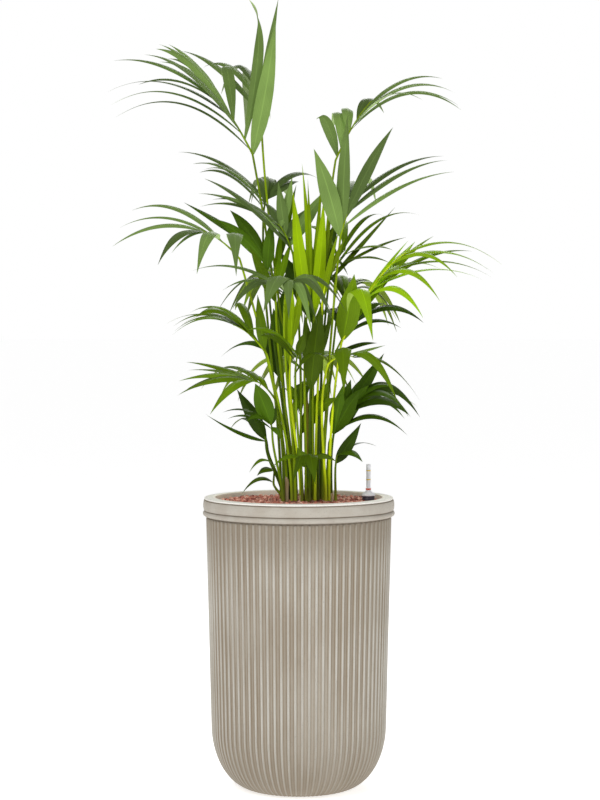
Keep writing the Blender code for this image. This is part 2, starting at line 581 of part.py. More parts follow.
def make_gauge():
    base_radius, base_height = GAUGE_BASE
    outer, inner, length = GAUGE_TUBE
    foot = FILL_TOP + GAP
    deck = foot + base_height
    neck = deck + GAP + GAUGE_DOME_HEIGHT
    top = neck + length
    wall = outer - inner
    dark = finish_material("gauge_base", (0.03, 0.025, 0.035), 0.35)
    clear = finish_material("gauge_clear", (0.80, 0.80, 0.84), 0.1)
    red = finish_material("gauge_float", (0.55, 0.06, 0.01), 0.4)
    base = turned("gauge_base", [(0, foot), (base_radius, foot), (base_radius, deck), (0, deck)],
                  GAUGE_SIDES, dark, GAUGE_PLACE)
    rim_top = deck + GAP + GAUGE_RIM_HEIGHT
    tube = turned("gauge_tube", [
        (GAUGE_DOME_RADIUS - wall, deck + GAP),
        (GAUGE_DOME_RADIUS, deck + GAP),
        (GAUGE_DOME_RADIUS, rim_top),
        (outer * 1.5, neck - 0.003),
        (outer, neck),
        (outer, top),
        (0, top),
    ], GAUGE_SIDES, clear, GAUGE_PLACE)
    bore = turned("bore_tool", [
        (0, deck - 0.01),
        (GAUGE_DOME_RADIUS - wall, deck - 0.01),
        (GAUGE_DOME_RADIUS - wall, rim_top - wall),
        (inner * 1.4, neck - 0.004),
        (inner, neck - 0.001),
        (inner, top - wall),
        (0, top - wall),
    ], GAUGE_SIDES, None, GAUGE_PLACE)
    cut(tube, bore)
    apply_modifiers(tube)
    bpy.data.objects.remove(bore)
    bead = neck + FLOAT_BEAD_RADIUS
    rounds = [(FLOAT_BEAD_RADIUS * math.cos(a), bead + FLOAT_BEAD_RADIUS * math.sin(a))
              for a in (math.radians(d) for d in (-60, -30, 0, 30, 60))]
    needle = turned("gauge_float", [
        (0, deck + GAP),
        (FLOAT_ROD_RADIUS, deck + GAP),
        (FLOAT_ROD_RADIUS, rounds[0][1] - 0.0004),
        *rounds,
        (0, bead + FLOAT_BEAD_RADIUS),
    ], FLOAT_SIDES, red, GAUGE_PLACE)
    return [base, tube, needle]


def tube_rings(points, radii, sides):
    """Rings round a path, each square to it."""
    rings = []
    for i, point in enumerate(points):
        along = (points[min(i + 1, len(points) - 1)] - points[max(i - 1, 0)]).normalized()
        if i == 0:
            along = UP
        side = along.cross(Vector((0, 1, 0))).normalized()
        other = along.cross(side)
        turns = [2 * math.pi * k / sides for k in range(sides)]
        rings.append([point + (side * math.cos(a) + other * math.sin(a)) * radii[i] for a in turns])
    return rings


def make_stem(name):
    foot, top, low_radius, high_radius = STEMS[name]
    material = finish_material("stem", (0.10, 0.17, 0.02), 0.5)
    low, high = Vector((*foot, FILL_TOP + GAP)), placed(*top)
    lean = (high - low).length * STEM_LEAN
    shares = [i / (len(STEM_FLARE) - 1) for i in range(len(STEM_FLARE))]
    points = [cubic(low, low + UP * lean, high - (high - low) * 0.3, high, t) for t in shares]
    radii = [(low_radius + (high_radius - low_radius) * t) * flare for t, flare in zip(shares, STEM_FLARE)]
    return add_object(name, loft(tube_rings(points, radii, STEM_SIDES)), material)


def cubic(a, b, c, d, t):
    return a * (1 - t) ** 3 + b * 3 * t * (1 - t) ** 2 + c * 3 * t**2 * (1 - t) + d * t**3


def quadratic(a, b, c, t):
    return a * (1 - t) ** 2 + b * 2 * t * (1 - t) + c * t**2


def rib_point(frond, share):
    """A place on the frond's rib, from its neck at 0 to its end at 1."""
    neck, end = placed(*frond.neck), placed(*frond.end)
    return quadratic(neck, (neck + end) / 2 + UP * 2 * frond.rib_rise, end, share)


def stalk_path(frond):
    """The points of a frond's stalk and rib, and the radius at each."""
    foot = Vector((*frond.foot, FILL_TOP + GAP))
    neck = rib_point(frond, 0)
    onward = ((rib_point(frond, 0.05) - neck).normalized() + UP * STALK_UPRIGHT).normalized()
    reach = (neck.z - foot.z) / 3
    points = [
        cubic(foot, foot + UP * reach, neck - onward * reach, neck, i / STALK_STEPS)
        for i in range(STALK_STEPS)
    ]
    points += [rib_point(frond, i / RIB_STEPS) for i in range(RIB_STEPS + 1)]
    low, middle, high = (radius * frond.girth for radius in STALK_RADIUS)
    radii = [low + (middle - low) * i / STALK_STEPS for i in range(STALK_STEPS)]
    radii += [middle + (high - middle) * i / RIB_STEPS for i in range(RIB_STEPS + 1)]
    return points, radii


def between(a, b, share, shift):
    """The leaflet that lies at this share of the way from one to another, its tip shifted a little."""
    tip = tuple(u + (v - u) * share + d for u, v, d in zip(a.tip, b.tip, shift))
    return Leaf(a.at + (b.at - a.at) * share, tip, a.rise + (b.rise - a.rise) * share,
                a.width + (b.width - a.width) * share, a.knee + (b.knee - a.knee) * share,
                a.lean + (b.lean - a.lean) * share)


def leaves_of(frond):
    """Every leaflet of a frond as (leaf, facing, twist), worked out from its fans."""
    found = []
    for number, group in enumerate(frond.fans):
        for i in range(group.count):
            rule = random.Random(f"{frond.name} {number} {i}")
            leaf = group.first
            if group.last:
                inner = 0 < i < group.count - 1
                shift = [inner * rule.uniform(-TIP_JITTER, TIP_JITTER) for _ in range(3)]
                leaf = between(group.first, group.last, i / (group.count - 1), shift)
            found.append((leaf, group.facing, rule.uniform(-TWIST, TWIST)))
    return found


def leaf_frame(root, leaf, tip, facing, twist, share):
    """The point of a leaflet's midrib at share of its length, and the directions across it and out of its
    face."""
    over = root + (tip - root) * leaf.knee + UP * 2 * leaf.rise + RIGHT * 2 * leaf.lean
    step = 0.02
    point = quadratic(root, over, tip, share)
    ahead, behind = quadratic(root, over, tip, share + step), quadratic(root, over, tip, share - step)
    along = (ahead - behind).normalized()
    middle = (tip - root).normalized()
    across = middle.cross(facing)
    across = (across - along * across.dot(along)).normalized()
    face = across.cross(along)
    turn = twist * share
    turned_across = across * math.cos(turn) + face * math.sin(turn)
    return point, turned_across, face * math.cos(turn) - across * math.sin(turn)


def blade(root, leaf, tip, facing, twist, grown=0.0):
    """A leaflet as a thin three-sided blade with a keel, ending in a point."""
    length = (tip - root).length + 2 * leaf.rise**2
    thick = max(length * LEAF_THICKNESS, LEAF_MIN_THICKNESS)
    rings = []
    for share, wide in LEAF_STATIONS:
        point, across, face = leaf_frame(root, leaf, tip, facing, twist, share)
        half = leaf.width * wide / 2 + grown
        depth = thick * (0.6 + 0.4 * wide)
        rings.append([
            point - across * half + face * grown,
            point + across * half + face * grown,
            point - face * (depth + grown),
        ])
    rings.append([tip])
    return loft(rings)


def tree_of(mesh):
    return BVHTree.FromBMesh(mesh, epsilon=0.0)


def object_tree(obj):
    mesh = bmesh.new()
    mesh.from_mesh(obj.data)
    tree = tree_of(mesh)
    mesh.free()
    return tree


def clear_tip(frond, leaf, facing, twist, others):
    """The leaflet's tip, moved nearer or farther till the leaflet clears the rest, or None."""
    root = rib_point(frond, leaf.at)
    across, depth, height = leaf.tip
    for move in DEPTH_TRIES:
        tip = placed(across, depth + move, height)
        probe = blade(root, leaf, tip, facing, twist, LEAF_CLEARANCE)
        tree = tree_of(probe)
        probe.free()
        if not any(tree.overlap(other) for other in others):
            return tip
    return None


def make_fronds(fixed):
    """Every frond: its stalk and rib, with the leaflets that clear the rest of the plant fused on."""
    stalks, trees = {}, {}
    for frond in FRONDS:
        colour = TONES[frond.tone]
        material = finish_material("leaf_" + frond.tone, colour, 0.45)
        points, radii = stalk_path(frond)
        stalk = loft(tube_rings(points, radii, STALK_SIDES))
        stalks[frond.name] = add_object(frond.name, stalk, material)
        trees[frond.name] = [object_tree(stalks[frond.name])]
    skipped = []
    for frond in FRONDS:
        others = fixed + [tree for name, group in trees.items() if name != frond.name for tree in group]
        kept = bpy.data.collections.new(frond.name + "_leaflets")
        for number, (leaf, facing, twist) in enumerate(leaves_of(frond)):
            tip = clear_tip(frond, leaf, facing, twist, others)
            if tip is None:
                skipped.append(f"{frond.name} {number}")
                continue
            mesh = blade(rib_point(frond, leaf.at), leaf, tip, facing, twist)
            trees[frond.name].append(tree_of(mesh))
            piece = add_object(f"{frond.name}_{number}", mesh)
            bpy.context.scene.collection.objects.unlink(piece)
            kept.objects.link(piece)
        obj = stalks[frond.name]
        fuse(obj, kept, frond.solver)
        apply_modifiers(obj)
        fill_voids(obj)
        for piece in list(kept.objects):
            bpy.data.objects.remove(piece)
        bpy.data.collections.remove(kept)
    print("leaflets left out:", skipped)


def main():
    clear_scene()
    fixed = [make_planter(), make_granules(), *make_gauge(), *(make_stem(name) for name in STEMS)]
    make_fronds([object_tree(obj) for obj in fixed])


main()
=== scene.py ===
"""The looks of a kentia palm clump in a tall fluted planter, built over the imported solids.

Metres, +Z up, origin at the centre of the planter's flat underside, -Y towards the camera.
"""

import math
import random
from dataclasses import dataclass

import bpy
import numpy as np
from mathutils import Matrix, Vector


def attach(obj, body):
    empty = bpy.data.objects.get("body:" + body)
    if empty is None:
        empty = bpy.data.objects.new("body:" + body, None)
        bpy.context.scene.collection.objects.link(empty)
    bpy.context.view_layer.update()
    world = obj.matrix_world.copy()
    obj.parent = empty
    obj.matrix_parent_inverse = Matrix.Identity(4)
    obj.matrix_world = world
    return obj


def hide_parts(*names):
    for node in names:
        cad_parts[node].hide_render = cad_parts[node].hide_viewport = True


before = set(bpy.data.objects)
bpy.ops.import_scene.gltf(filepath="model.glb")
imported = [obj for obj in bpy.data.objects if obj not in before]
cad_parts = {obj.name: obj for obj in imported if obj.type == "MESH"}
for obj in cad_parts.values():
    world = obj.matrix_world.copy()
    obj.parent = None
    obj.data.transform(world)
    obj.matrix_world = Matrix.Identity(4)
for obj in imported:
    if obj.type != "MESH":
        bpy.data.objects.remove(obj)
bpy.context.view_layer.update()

# Planter
POT_HEIGHT = 0.716
BASE_RADIUS = 0.115
CORNER_HEIGHT, CORNER_STEPS = 0.157, 22
WALL_RADIUS = 0.2155
WALL_TOP, WALL_TOP_RADIUS = 0.6655, 0.2278
RIB_COUNT = 82
RIB_SHARE = 0.24  # half a rib's width, as a share of the way to the next
RIB_HEIGHT = 0.004
TURNS_PER_RIB = 12
GROUND_CROWN = 0.1  # how far the ground between ribs bulges, as a share of a rib's height
INNER_RADIUS = 0.205
RECESS_RADIUS = 0.2225
BEAD_LOW, BEAD_HIGH, BEAD_RADIUS = 0.67, 0.683, 0.2358
BAND_LOW, BAND_HIGH, BAND_RADIUS = 0.6845, 0.7095, 0.2345
BAND_CROWN, BAND_STEPS = 0.0016, 7
LIP_LOW, LIP_RADIUS, LIP_ROUND = 0.711, 0.2322, 0.0022
FILL_TOP = 0.708
GAP = 0.0003
# painted shade: dark bands at these levels along the lip's groove, the bead's groove and the recess under
# the bead
SHADED_CREASES = {LIP_LOW - 0.0008: 0.002, BEAD_HIGH + 0.0008: 0.002, WALL_TOP + 0.002: 0.0045}  # level: width
CAST_COLOURS = {
    # the crest colours are a painted highlight on the rib crests
    "crest": (192, 188, 179), "dull crest": (176, 170, 159),
    "ground": (152, 142, 127), "pale ground": (171, 163, 150),
    # this brown wash colour is also painted shade where the corners beside the ribs lie in shade
    "shaded wash": (136, 119, 97), "ends": (138, 127, 111), "speck": (120, 106, 88),
    # the crease colour is painted shade in the rim's grooves and in the recess under the bead
    "band": (182, 176, 165), "dull band": (174, 166, 154), "crease_shade": (112, 98, 80),
    # the inside colour is painted light on an inner wall that lies in shade
    # the lip colour is painted light on the lip's top and round edge
    "lip": (240, 237, 230), "inside": (250, 244, 232),
}

# Granules
GRANULE_COUNT = 1500
GRANULE_SIZE = (0.0036, 0.0058)  # half its width
GRANULE_DENT = 0.16
GOLDEN_TURN = math.pi * (3 - math.sqrt(5))
GRANULE_COLOURS = ((192, 112, 96), (212, 138, 118), (150, 82, 68), (234, 182, 162), (176, 122, 106))
# painted shade: a near black sheet under the granules that darkens the gaps between them
SHADE_BED_COLOUR = (44, 24, 20)

# Water gauge
GAUGE_PLACE = (0.171, -0.005)
GAUGE_BASE = (0.0155, 0.01)  # radius, height
GAUGE_DOME_RADIUS, GAUGE_DOME_HEIGHT = 0.0175, 0.0135
GAUGE_TUBE = (0.0052, 0.0038, 0.064)  # outer radius, inner radius, length
GAUGE_FOOT = FILL_TOP + GAP
GAUGE_DECK = GAUGE_FOOT + GAUGE_BASE[1]
GAUGE_NECK = GAUGE_DECK + GAP + GAUGE_DOME_HEIGHT
GAUGE_TOP = GAUGE_NECK + GAUGE_TUBE[2]
MARK_LEVELS = (GAUGE_TOP - 0.0155, GAUGE_TOP - 0.0375)
NEEDLE_BEAD = 0.003

# Stalks and canes
STALK_RADIUS = (0.0034, 0.0026, 0.001)  # at the foot, the neck and the rib's end
STALK_UPRIGHT = 1.5  # how steeply a stalk meets its rib
STALK_RINGS, STALK_SIDES = 64, 12
STEM_RINGS, STEM_SIDES, STEM_SCARS = 90, 24, 9
SHEATHS = {"left_long": 0.064, "new_low": 0.018, "right_low": 0.024, "left_mid": 0.022}  # their heights
SHEATH_COLUMNS, SHEATH_ROWS = 22, 9
STALK_SHEEN = 0.1
STALK_FOOT_COLOUR = (128, 116, 56)
STALK_COLOURS = {
    "deep": (72, 98, 2), "green": (106, 132, 8), "lime": (134, 160, 8), "yellow": (190, 210, 22),
}
STALKS = {  # the fronds with stalks that aren't green
    "deep": "right_dark left_dark low_centre centre_dark inner_back inner_left left_foot low_front "
            "right_low back_mid",
    "lime": "right_high right_fan left_long mid_front left_arch new_mid new_left left_bright crown_back",
    "yellow": "right_bright new_right new_low right_mid",
}

# Leaflets, with their widths at shares of the length
BLADE_STATIONS, BLADE_COLUMNS = 36, 9
BLADE_WIDTHS = ((0, 0.2), (0.06, 0.48), (0.14, 0.8), (0.24, 1.04), (0.36, 1.13), (0.5, 1.07),
                (0.62, 0.9), (0.74, 0.65), (0.85, 0.37), (0.94, 0.15), (1, 0.015))
BLADE_THICKNESS = 0.0007
FOLD = 0.3  # how far each half hangs below the midrib, as a share of its width
RIPPLE, SWAY = 0.03, 0.014  # shares of its width and of its length
VEIN_COUNT = 11
TIP_JITTER = 0.01
TWIST = math.radians(22)
CURLED = {("crown_left", 5): 3.6}  # the turn of a leaflet that shows its edge near the tip
WIDER = {"right_bright": 1.02, "right_low": 1.15, "right_arch": 1.15, "left_low": 1.1, "right_high": 1.2,
         "right_fan": 1.2}
THIN_FRONDS = ("right_bright", "right_fan", "left_long", "right_mid", "right_dark")
WIDE_GAP = 0.05  # between neighbours' tips, where one more leaflet fits
BETWEEN_PLACE, BETWEEN_LENGTH, BETWEEN_WIDTH = (0.35, 0.65), (0.84, 0.96), (0.75, 0.95)
LEAF_SHEEN = 0.09
LEAF_COLOURS = {  # upper face, lower face
    "grey": ((100, 124, 62), (154, 176, 116)),
    "mid": ((90, 118, 8), (128, 152, 48)),
    "dark": ((64, 92, 10), (102, 128, 30)),
    "green": ((98, 130, 0), (132, 162, 26)),
    "bright": ((134, 172, 12), (172, 200, 86)),
    "fresh": ((120, 148, 0), (146, 174, 12)),
}
SHADES = (0.62, 1.0, 1.4)
LIGHTER = {"centre_dark": "mid", "low_front": "mid", "low_centre": "mid"}  # shown in a lighter tone

# Stage
EYE_ACROSS, EYE_DISTANCE, EYE_HEIGHT = 0.003, 5.0, 1.13
EYE_TILT = 2.02  # degrees down
LENS = 91.7
WORLD_LIGHT = 0.38
FLOOR_REACH, FLOOR_GLOW = 200.0, 0.64
LIGHT_AIM = (0, 0, 1.1)
LIGHTS = {  # place, width, power
    "key": ((-1.6, -3.2, 3.6), 2.2, 84),
    "fill": ((2.8, -2.6, 2.2), 2.6, 32),
    "back": ((0.6, 3.4, 3.2), 2.4, 60),
}

# Where an upper face looks
UP = Vector((0, 0, 1))
LEVEL = Vector((0, -0.5, 0.87))
FRONT = Vector((0, -1, 0.25))
TILTED = Vector((0, -0.6, 0.8))


@dataclass
class Leaf:
    """A leaflet: where on the rib it grows (0 neck, 1 end), its tip, its rise over the chord, its width,
    where its knee is, and how far the knee leans to the right."""

    at: float
    tip: tuple
    rise: float
    width: float
    knee: float = 0.5
    lean: float = 0.0


@dataclass
class Fan:
    """A run of leaflets along the rib that sweeps from its first to its last, with one facing."""

    facing: Vector
    count: int
    first: Leaf
    last: Leaf = None


@dataclass
class Frond:
    """A frond: the foot of its stalk on the granules, the neck where its leaflets begin, the end of its
    rib, and its fans of leaflets."""

    name: str
    foot: tuple
    neck: tuple
    end: tuple
    fans: tuple
    tone: str = "mid"
    rib_rise: float = 0.012
    girth: float = 1.0


def one(facing, at, tip, rise, width, knee=0.5, lean=0.0):
    return Fan(facing, 1, Leaf(at, tip, rise, width, knee, lean))


def fan(facing, count, first, last):
    return Fan(facing, count, Leaf(*first), Leaf(*last))


# name: (place on the granules, place of the top, radius at the foot and at the top, colour)
STEMS = {
    "stem_left": ((-0.032, -0.002), (-0.044, 0.004, 0.9), 0.005, 0.0038, (92, 118, 12)),
    "stem_mid_left": ((-0.009, -0.011), (-0.012, -0.01, 0.96), 0.005, 0.0038, (116, 142, 16)),
    "stem_centre": ((0.021, -0.005), (0.02, -0.008, 0.96), 0.0074, 0.0048, (112, 106, 34)),
    "stem_mid_right": ((0.046, -0.005), (0.048, -0.006, 0.93), 0.005, 0.0038, (74, 98, 6)),
    "stem_right": ((0.069, -0.002), (0.076, 0, 0.86), 0.0048, 0.0036, (128, 156, 16)),
}

FRONDS = (
    Frond("crown_left", (-0.027, 0.022), (-0.113, 0.02, 1.555), (-0.25, 0.03, 1.74), (
        fan(LEVEL, 3,
            (0.04, (-0.447, 0.06, 1.645), 0.074, 0.014), (0.36, (-0.468, 0.12, 1.706), 0.056, 0.014)),
        one(LEVEL, 0.5, (-0.452, 0.17, 1.782), 0.04, 0.014),
        fan(TILTED, 4,
            (0.24, (-0.376, -0.06, 1.797), 0.044, 0.025), (0.62, (-0.318, 0.1, 1.822), 0.022, 0.022)),
        one(LEVEL, 0.45, (-0.392, -0.12, 1.724), 0.04, 0.014),
        one(FRONT, 0, (-0.056, -0.04, 1.88), -0.004, 0.037),
        one(FRONT, 0.14, (-0.121, -0.02, 1.93), 0.004, 0.024, 0.8, 0.028),
        one(FRONT, 0.34, (-0.188, 0.2, 1.742), 0.06, 0.026, 0.7),
    ), "grey", rib_rise=0.022),
    Frond("crown_back", (-0.011, 0.05), (-0.09, 0.092, 1.6), (-0.118, 0.21, 1.74), (
        one(FRONT, 0.1, (-0.05, 0.1, 1.932), 0, 0.022),
        fan(LEVEL, 2, (0.35, (-0.286, 0.34, 1.806), 0.03, 0.018), (0.9, (-0.19, 0.42, 1.7), 0.06, 0.022)),
        fan(UP, 3, (0.4, (-0.07, 0.46, 1.64), 0.09, 0.024), (1, (-0.13, 0.5, 1.6), 0.08, 0.024)),
    ), "grey"),
    Frond("right_high", (0.057, 0.037), (0.09, 0.06, 1.54), (0.178, 0.1, 1.685), (
        one(FRONT, 0.05, (0.043, 0.09, 1.64), 0.034, 0.022, 0.6),
        one(UP, 0.16, (0.078, 0.26, 1.6), 0.078, 0.022, 0.2),
        one(UP, 0.36, (0.116, 0.28, 1.6), 0.066, 0.022, 0.2),
        one(TILTED, 0.6, (0.208, 0.2, 1.655), 0.045, 0.02, 0.4),
        fan(LEVEL, 5,
            (0.4, (0.396, -0.02, 1.663), 0.066, 0.013), (0.72, (0.353, 0.13, 1.738), 0.036, 0.013)),
        one(LEVEL, 0.5, (0.303, -0.1, 1.686), 0.044, 0.014),
    ), "grey", rib_rise=0.014),
    Frond("right_fan", (0.061, -0.011), (0.102, -0.03, 1.355), (0.14, -0.02, 1.455), (
        one(FRONT, 0, (0.037, -0.09, 1.568), 0.01, 0.034),
        one(FRONT, 0.12, (0.12, -0.05, 1.655), 0, 0.024),
        one(FRONT, 0.36, (0.23, -0.07, 1.62), 0.01, 0.022),
        fan(LEVEL, 3, (0.15, (0.38, 0.02, 1.512), 0.03, 0.015), (0.75, (0.355, 0.12, 1.55), 0.03, 0.016)),
        fan(UP, 3, (0.4, (0.07, 0.3, 1.44), 0.06, 0.022), (1, (0.19, 0.3, 1.43), 0.06, 0.018)),
    ), "grey"),
    Frond("right_dark", (0.05, 0.028), (0.074, 0.045, 1.245), (0.112, 0.08, 1.32), (
        fan(LEVEL, 2,
            (0.15, (0.296, 0.08, 1.406), 0.056, 0.014), (0.5, (0.208, 0.16, 1.405), 0.042, 0.013)),
        one(TILTED, 0, (0.236, -0.01, 1.426), 0, 0.019),
        fan(LEVEL, 2, (0.55, (0.23, -0.08, 1.321), 0.02, 0.016), (0.3, (0.222, -0.13, 1.29), 0.02, 0.012)),
        fan(UP, 2, (0.6, (-0.01, 0.24, 1.34), 0.06, 0.02), (1, (0.1, 0.32, 1.35), 0.06, 0.02)),
    )),
    Frond("right_bright", (0.074, -0.024), (0.105, -0.06, 1.095), (0.263, -0.06, 1.315), (
        one(UP, 0.14, (0.182, -0.2, 1.1), 0.1, 0.044, 0.3),
        one(FRONT, 0.02, (0.136, -0.1, 1.262), 0, 0.048),
        fan(TILTED, 3,
            (0.3, (0.305, -0.19, 1.155), 0.056, 0.02), (0.74, (0.388, -0.11, 1.255), 0.044, 0.016)),
        fan(LEVEL, 4,
            (0.45, (0.452, -0.03, 1.248), 0.038, 0.014), (0.9, (0.498, 0.04, 1.285), 0.046, 0.014)),
        fan(TILTED, 3, (0.1, (0.33, 0.07, 1.355), 0.03, 0.024), (0.55, (0.285, 0.14, 1.342), 0, 0.02)),
        one(LEVEL, 0.6, (0.345, 0.16, 1.275), 0.026, 0.012),
    ), "bright", rib_rise=0.03),
    Frond("new_left", (0.018, -0.021), (0.016, -0.038, 1.12), (0.03, -0.03, 1.22), (
        one(FRONT, 0.4, (-0.015, -0.06, 1.466), 0, 0.027),
        one(FRONT, 0.75, (0.008, -0.01, 1.532), 0, 0.012),
        fan(FRONT, 2, (0.9, (0.022, -0.02, 1.494), 0, 0.01), (1, (0.056, 0.01, 1.5), 0, 0.011)),
    ), "fresh"),
    Frond("new_mid", (0.035, -0.012), (0.038, -0.034, 1.15), (0.048, -0.03, 1.23), (
        one(FRONT, 0.1, (0.061, -0.05, 1.447), 0, 0.025),
        fan(FRONT, 2, (0.6, (0.081, -0.03, 1.433), 0, 0.012), (0.95, (0.092, 0, 1.405), 0, 0.012)),
    ), "fresh"),
    Frond("new_right", (0.04, -0.02), (0.056, -0.05, 1.18), (0.07, -0.056, 1.25), (
        fan(FRONT, 2, (0.1, (0.098, -0.07, 1.368), 0, 0.013), (0.8, (0.114, -0.06, 1.352), 0, 0.012)),
    ), "fresh"),
    Frond("new_low", (0.005, -0.023), (-0.022, -0.056, 1.02), (-0.018, -0.058, 1.1), (
        fan(FRONT, 3, (0.1, (-0.03, -0.06, 1.252), 0, 0.017), (0.9, (0.006, -0.07, 1.236), 0, 0.018)),
    ), "fresh"),
    Frond("left_long", (-0.029, -0.014), (-0.145, -0.02, 1.3), (-0.236, -0.01, 1.367), (
        fan(LEVEL, 3, (0.45, (-0.41, 0.13, 1.417), 0.044, 0.015), (1, (-0.456, 0.02, 1.33), 0.03, 0.017)),
        fan(TILTED, 3,
            (1, (-0.345, -0.14, 1.285), 0.034, 0.026, 0.6),
            (0.12, (-0.153, -0.24, 1.258), 0.074, 0.036, 0.5)),
        one(LEVEL, 0.85, (-0.312, -0.05, 1.313), 0.02, 0.012),
    ), "grey", rib_rise=0.01),
    Frond("left_high", (-0.044, 0.036), (-0.086, 0.046, 1.415), (-0.074, 0.12, 1.45), (
        fan(LEVEL, 3, (0.08, (-0.243, 0, 1.51), 0.038, 0.015), (0.5, (-0.296, 0.16, 1.56), 0.032, 0.015)),
        fan(UP, 2,
            (0.2, (-0.124, 0.26, 1.43), 0.066, 0.018, 0.2),
            (0.4, (-0.098, 0.32, 1.43), 0.066, 0.018, 0.2)),
        one(UP, 0.7, (-0.044, 0.34, 1.43), 0.056, 0.024, 0.2),
        one(TILTED, 0.5, (0, 0.18, 1.488), 0.014, 0.028),
        one(TILTED, 0.6, (0.057, 0.24, 1.488), 0.04, 0.02),
        one(UP, 1, (-0.006, 0.36, 1.42), 0.05, 0.026, 0.3),
    ), "grey"),
    Frond("left_mid", (0.005, -0.008), (-0.014, -0.026, 1.31), (-0.052, -0.04, 1.385), (
        fan(TILTED, 3,
            (0.12, (-0.23, -0.12, 1.495), 0.024, 0.019), (0.95, (-0.241, 0.01, 1.427), 0.026, 0.015)),
        one(TILTED, 0.1, (-0.086, 0.05, 1.436), 0.022, 0.024, 0.6),
        one(TILTED, 0.2, (0.07, 0.09, 1.47), 0.008, 0.03),
        one(FRONT, 0.4, (0.022, 0.08, 1.424), 0, 0.028),
    ), "grey"),
    Frond("left_dark", (-0.022, 0.004), (-0.075, 0, 1.25), (-0.09, 0.002, 1.32), (
        one(FRONT, 0.6, (-0.168, -0.02, 1.418), 0.01, 0.03),
        one(FRONT, 0.2, (-0.066, -0.03, 1.398), 0, 0.026),
        one(TILTED, 0.9, (-0.281, 0.1, 1.437), 0.006, 0.02),
    ), "dark"),
    Frond("left_bright", (-0.013, 0.01), (-0.056, 0.01, 1.18), (-0.058, 0.02, 1.28), (
        one(FRONT, 0.1, (-0.12, -0.085, 1.33), 0.004, 0.024),
        one(FRONT, 0.45, (-0.04, 0.03, 1.376), 0, 0.015),
        one(FRONT, 0.3, (-0.016, -0.02, 1.348), 0, 0.016),
        one(FRONT, 0.9, (-0.006, 0.06, 1.48), 0, 0.02),
    ), "green"),
    Frond("mid_front", (-0.008, -0.03), (-0.036, -0.075, 1.165), (-0.032, -0.15, 1.226), (
        one(LEVEL, 0.8, (-0.262, -0.05, 1.27), 0.034, 0.014),
        one(LEVEL, 0.6, (-0.187, -0.12, 1.222), 0.03, 0.018),
        one(TILTED, 0.7, (-0.162, -0.24, 1.178), 0.044, 0.024),
        one(UP, 0.9, (-0.086, -0.34, 1.17), 0.05, 0.044, 0.3),
        one(UP, 0.8, (-0.024, -0.36, 1.15), 0.05, 0.026, 0.3),
        fan(TILTED, 3,
            (0.85, (0.031, -0.31, 1.124), 0.054, 0.022), (1, (0.118, -0.18, 1.166), 0.056, 0.018)),
    ), "grey"),
    Frond("left_arch", (-0.017, -0.034), (-0.078, -0.05, 1.065), (-0.161, -0.07, 1.138), (
        fan(LEVEL, 3,
            (0.9, (-0.312, -0.04, 1.111), 0.032, 0.014), (0.6, (-0.324, 0.08, 1.141), 0.034, 0.013)),
        fan(TILTED, 2,
            (0.6, (-0.252, -0.17, 1.157), 0.034, 0.026), (0.15, (-0.266, -0.06, 1.168), 0.05, 0.024)),
        one(LEVEL, 0.4, (-0.156, 0.06, 1.174), 0.04, 0.022, 0.7),
        one(FRONT, 0.08, (-0.101, -0.01, 1.212), 0, 0.024),
    )),
    Frond("low_mid", (0.008, -0.039), (-0.008, -0.09, 1.03), (0, -0.11, 1.064), (
        fan(TILTED, 2,
            (0.2, (-0.094, -0.19, 1.111), 0.024, 0.025), (0.7, (-0.13, -0.13, 1.124), 0.026, 0.017)),
        one(FRONT, 0.66, (0.014, -0.13, 1.12), 0, 0.02),
    )),
    Frond("centre_dark", (0.027, -0.025), (0.028, -0.062, 0.97), (0.036, -0.06, 1.05), (
        one(FRONT, 0.1, (0.054, -0.08, 1.188), 0, 0.042),
        one(FRONT, 0.4, (0.014, -0.05, 1.166), 0, 0.026),
        one(FRONT, 0.8, (0.082, -0.05, 1.156), 0, 0.026),
    ), "dark"),
    Frond("inner_back", (0.029, 0.036), (0.034, 0.06, 1.13), (0.036, 0.08, 1.23), (
        fan(FRONT, 4, (0.1, (-0.05, 0.12, 1.32), 0.016, 0.034), (0.9, (0.098, 0.13, 1.4), 0.01, 0.034)),
        fan(UP, 2, (0.6, (-0.06, 0.3, 1.26), 0.06, 0.028), (1, (0.12, 0.34, 1.26), 0.06, 0.028)),
    ), "dark"),
    Frond("inner_left", (-0.011, 0.022), (-0.04, 0.04, 0.99), (-0.052, 0.05, 1.09), (
        fan(FRONT, 3, (0.1, (-0.1, 0.02, 1.13), 0.012, 0.034), (0.9, (-0.03, 0.06, 1.24), 0, 0.034)),
        one(LEVEL, 0.5, (-0.19, 0.12, 1.06), 0.04, 0.024),
    ), "dark"),
    Frond("low_centre", (0.009, 0.018), (0.004, 0.02, 0.86), (0.007, 0, 0.94), (
        one(FRONT, 0.1, (0.076, -0.05, 1.004), 0, 0.036),
        fan(TILTED, 3, (0.5, (-0.046, -0.06, 0.99), 0.016, 0.022), (1, (0.03, 0.11, 0.98), 0.04, 0.022)),
    ), "dark"),
    Frond("right_mid", (0.066, -0.034), (0.072, -0.076, 1.042), (0.136, -0.13, 1.058), (
        one(TILTED, 0.05, (-0.014, -0.2, 1.006), 0.042, 0.016),
        one(TILTED, 0.2, (0.106, -0.22, 1.017), 0.03, 0.018),
        one(UP, 0.6, (0.111, -0.3, 0.968), 0.046, 0.036, 0.3),
        fan(TILTED, 2,
            (0.75, (0.243, -0.17, 0.948), 0.044, 0.022), (1, (0.299, -0.06, 0.95), 0.038, 0.014)),
        one(LEVEL, 0.7, (0.212, 0, 1.088), 0, 0.012),
        one(LEVEL, 0.95, (0.196, 0.06, 1.05), 0.016, 0.013),
    )),
    Frond("right_low", (0.08, -0.014), (0.086, -0.022, 0.87), (0.15, -0.04, 0.964), (
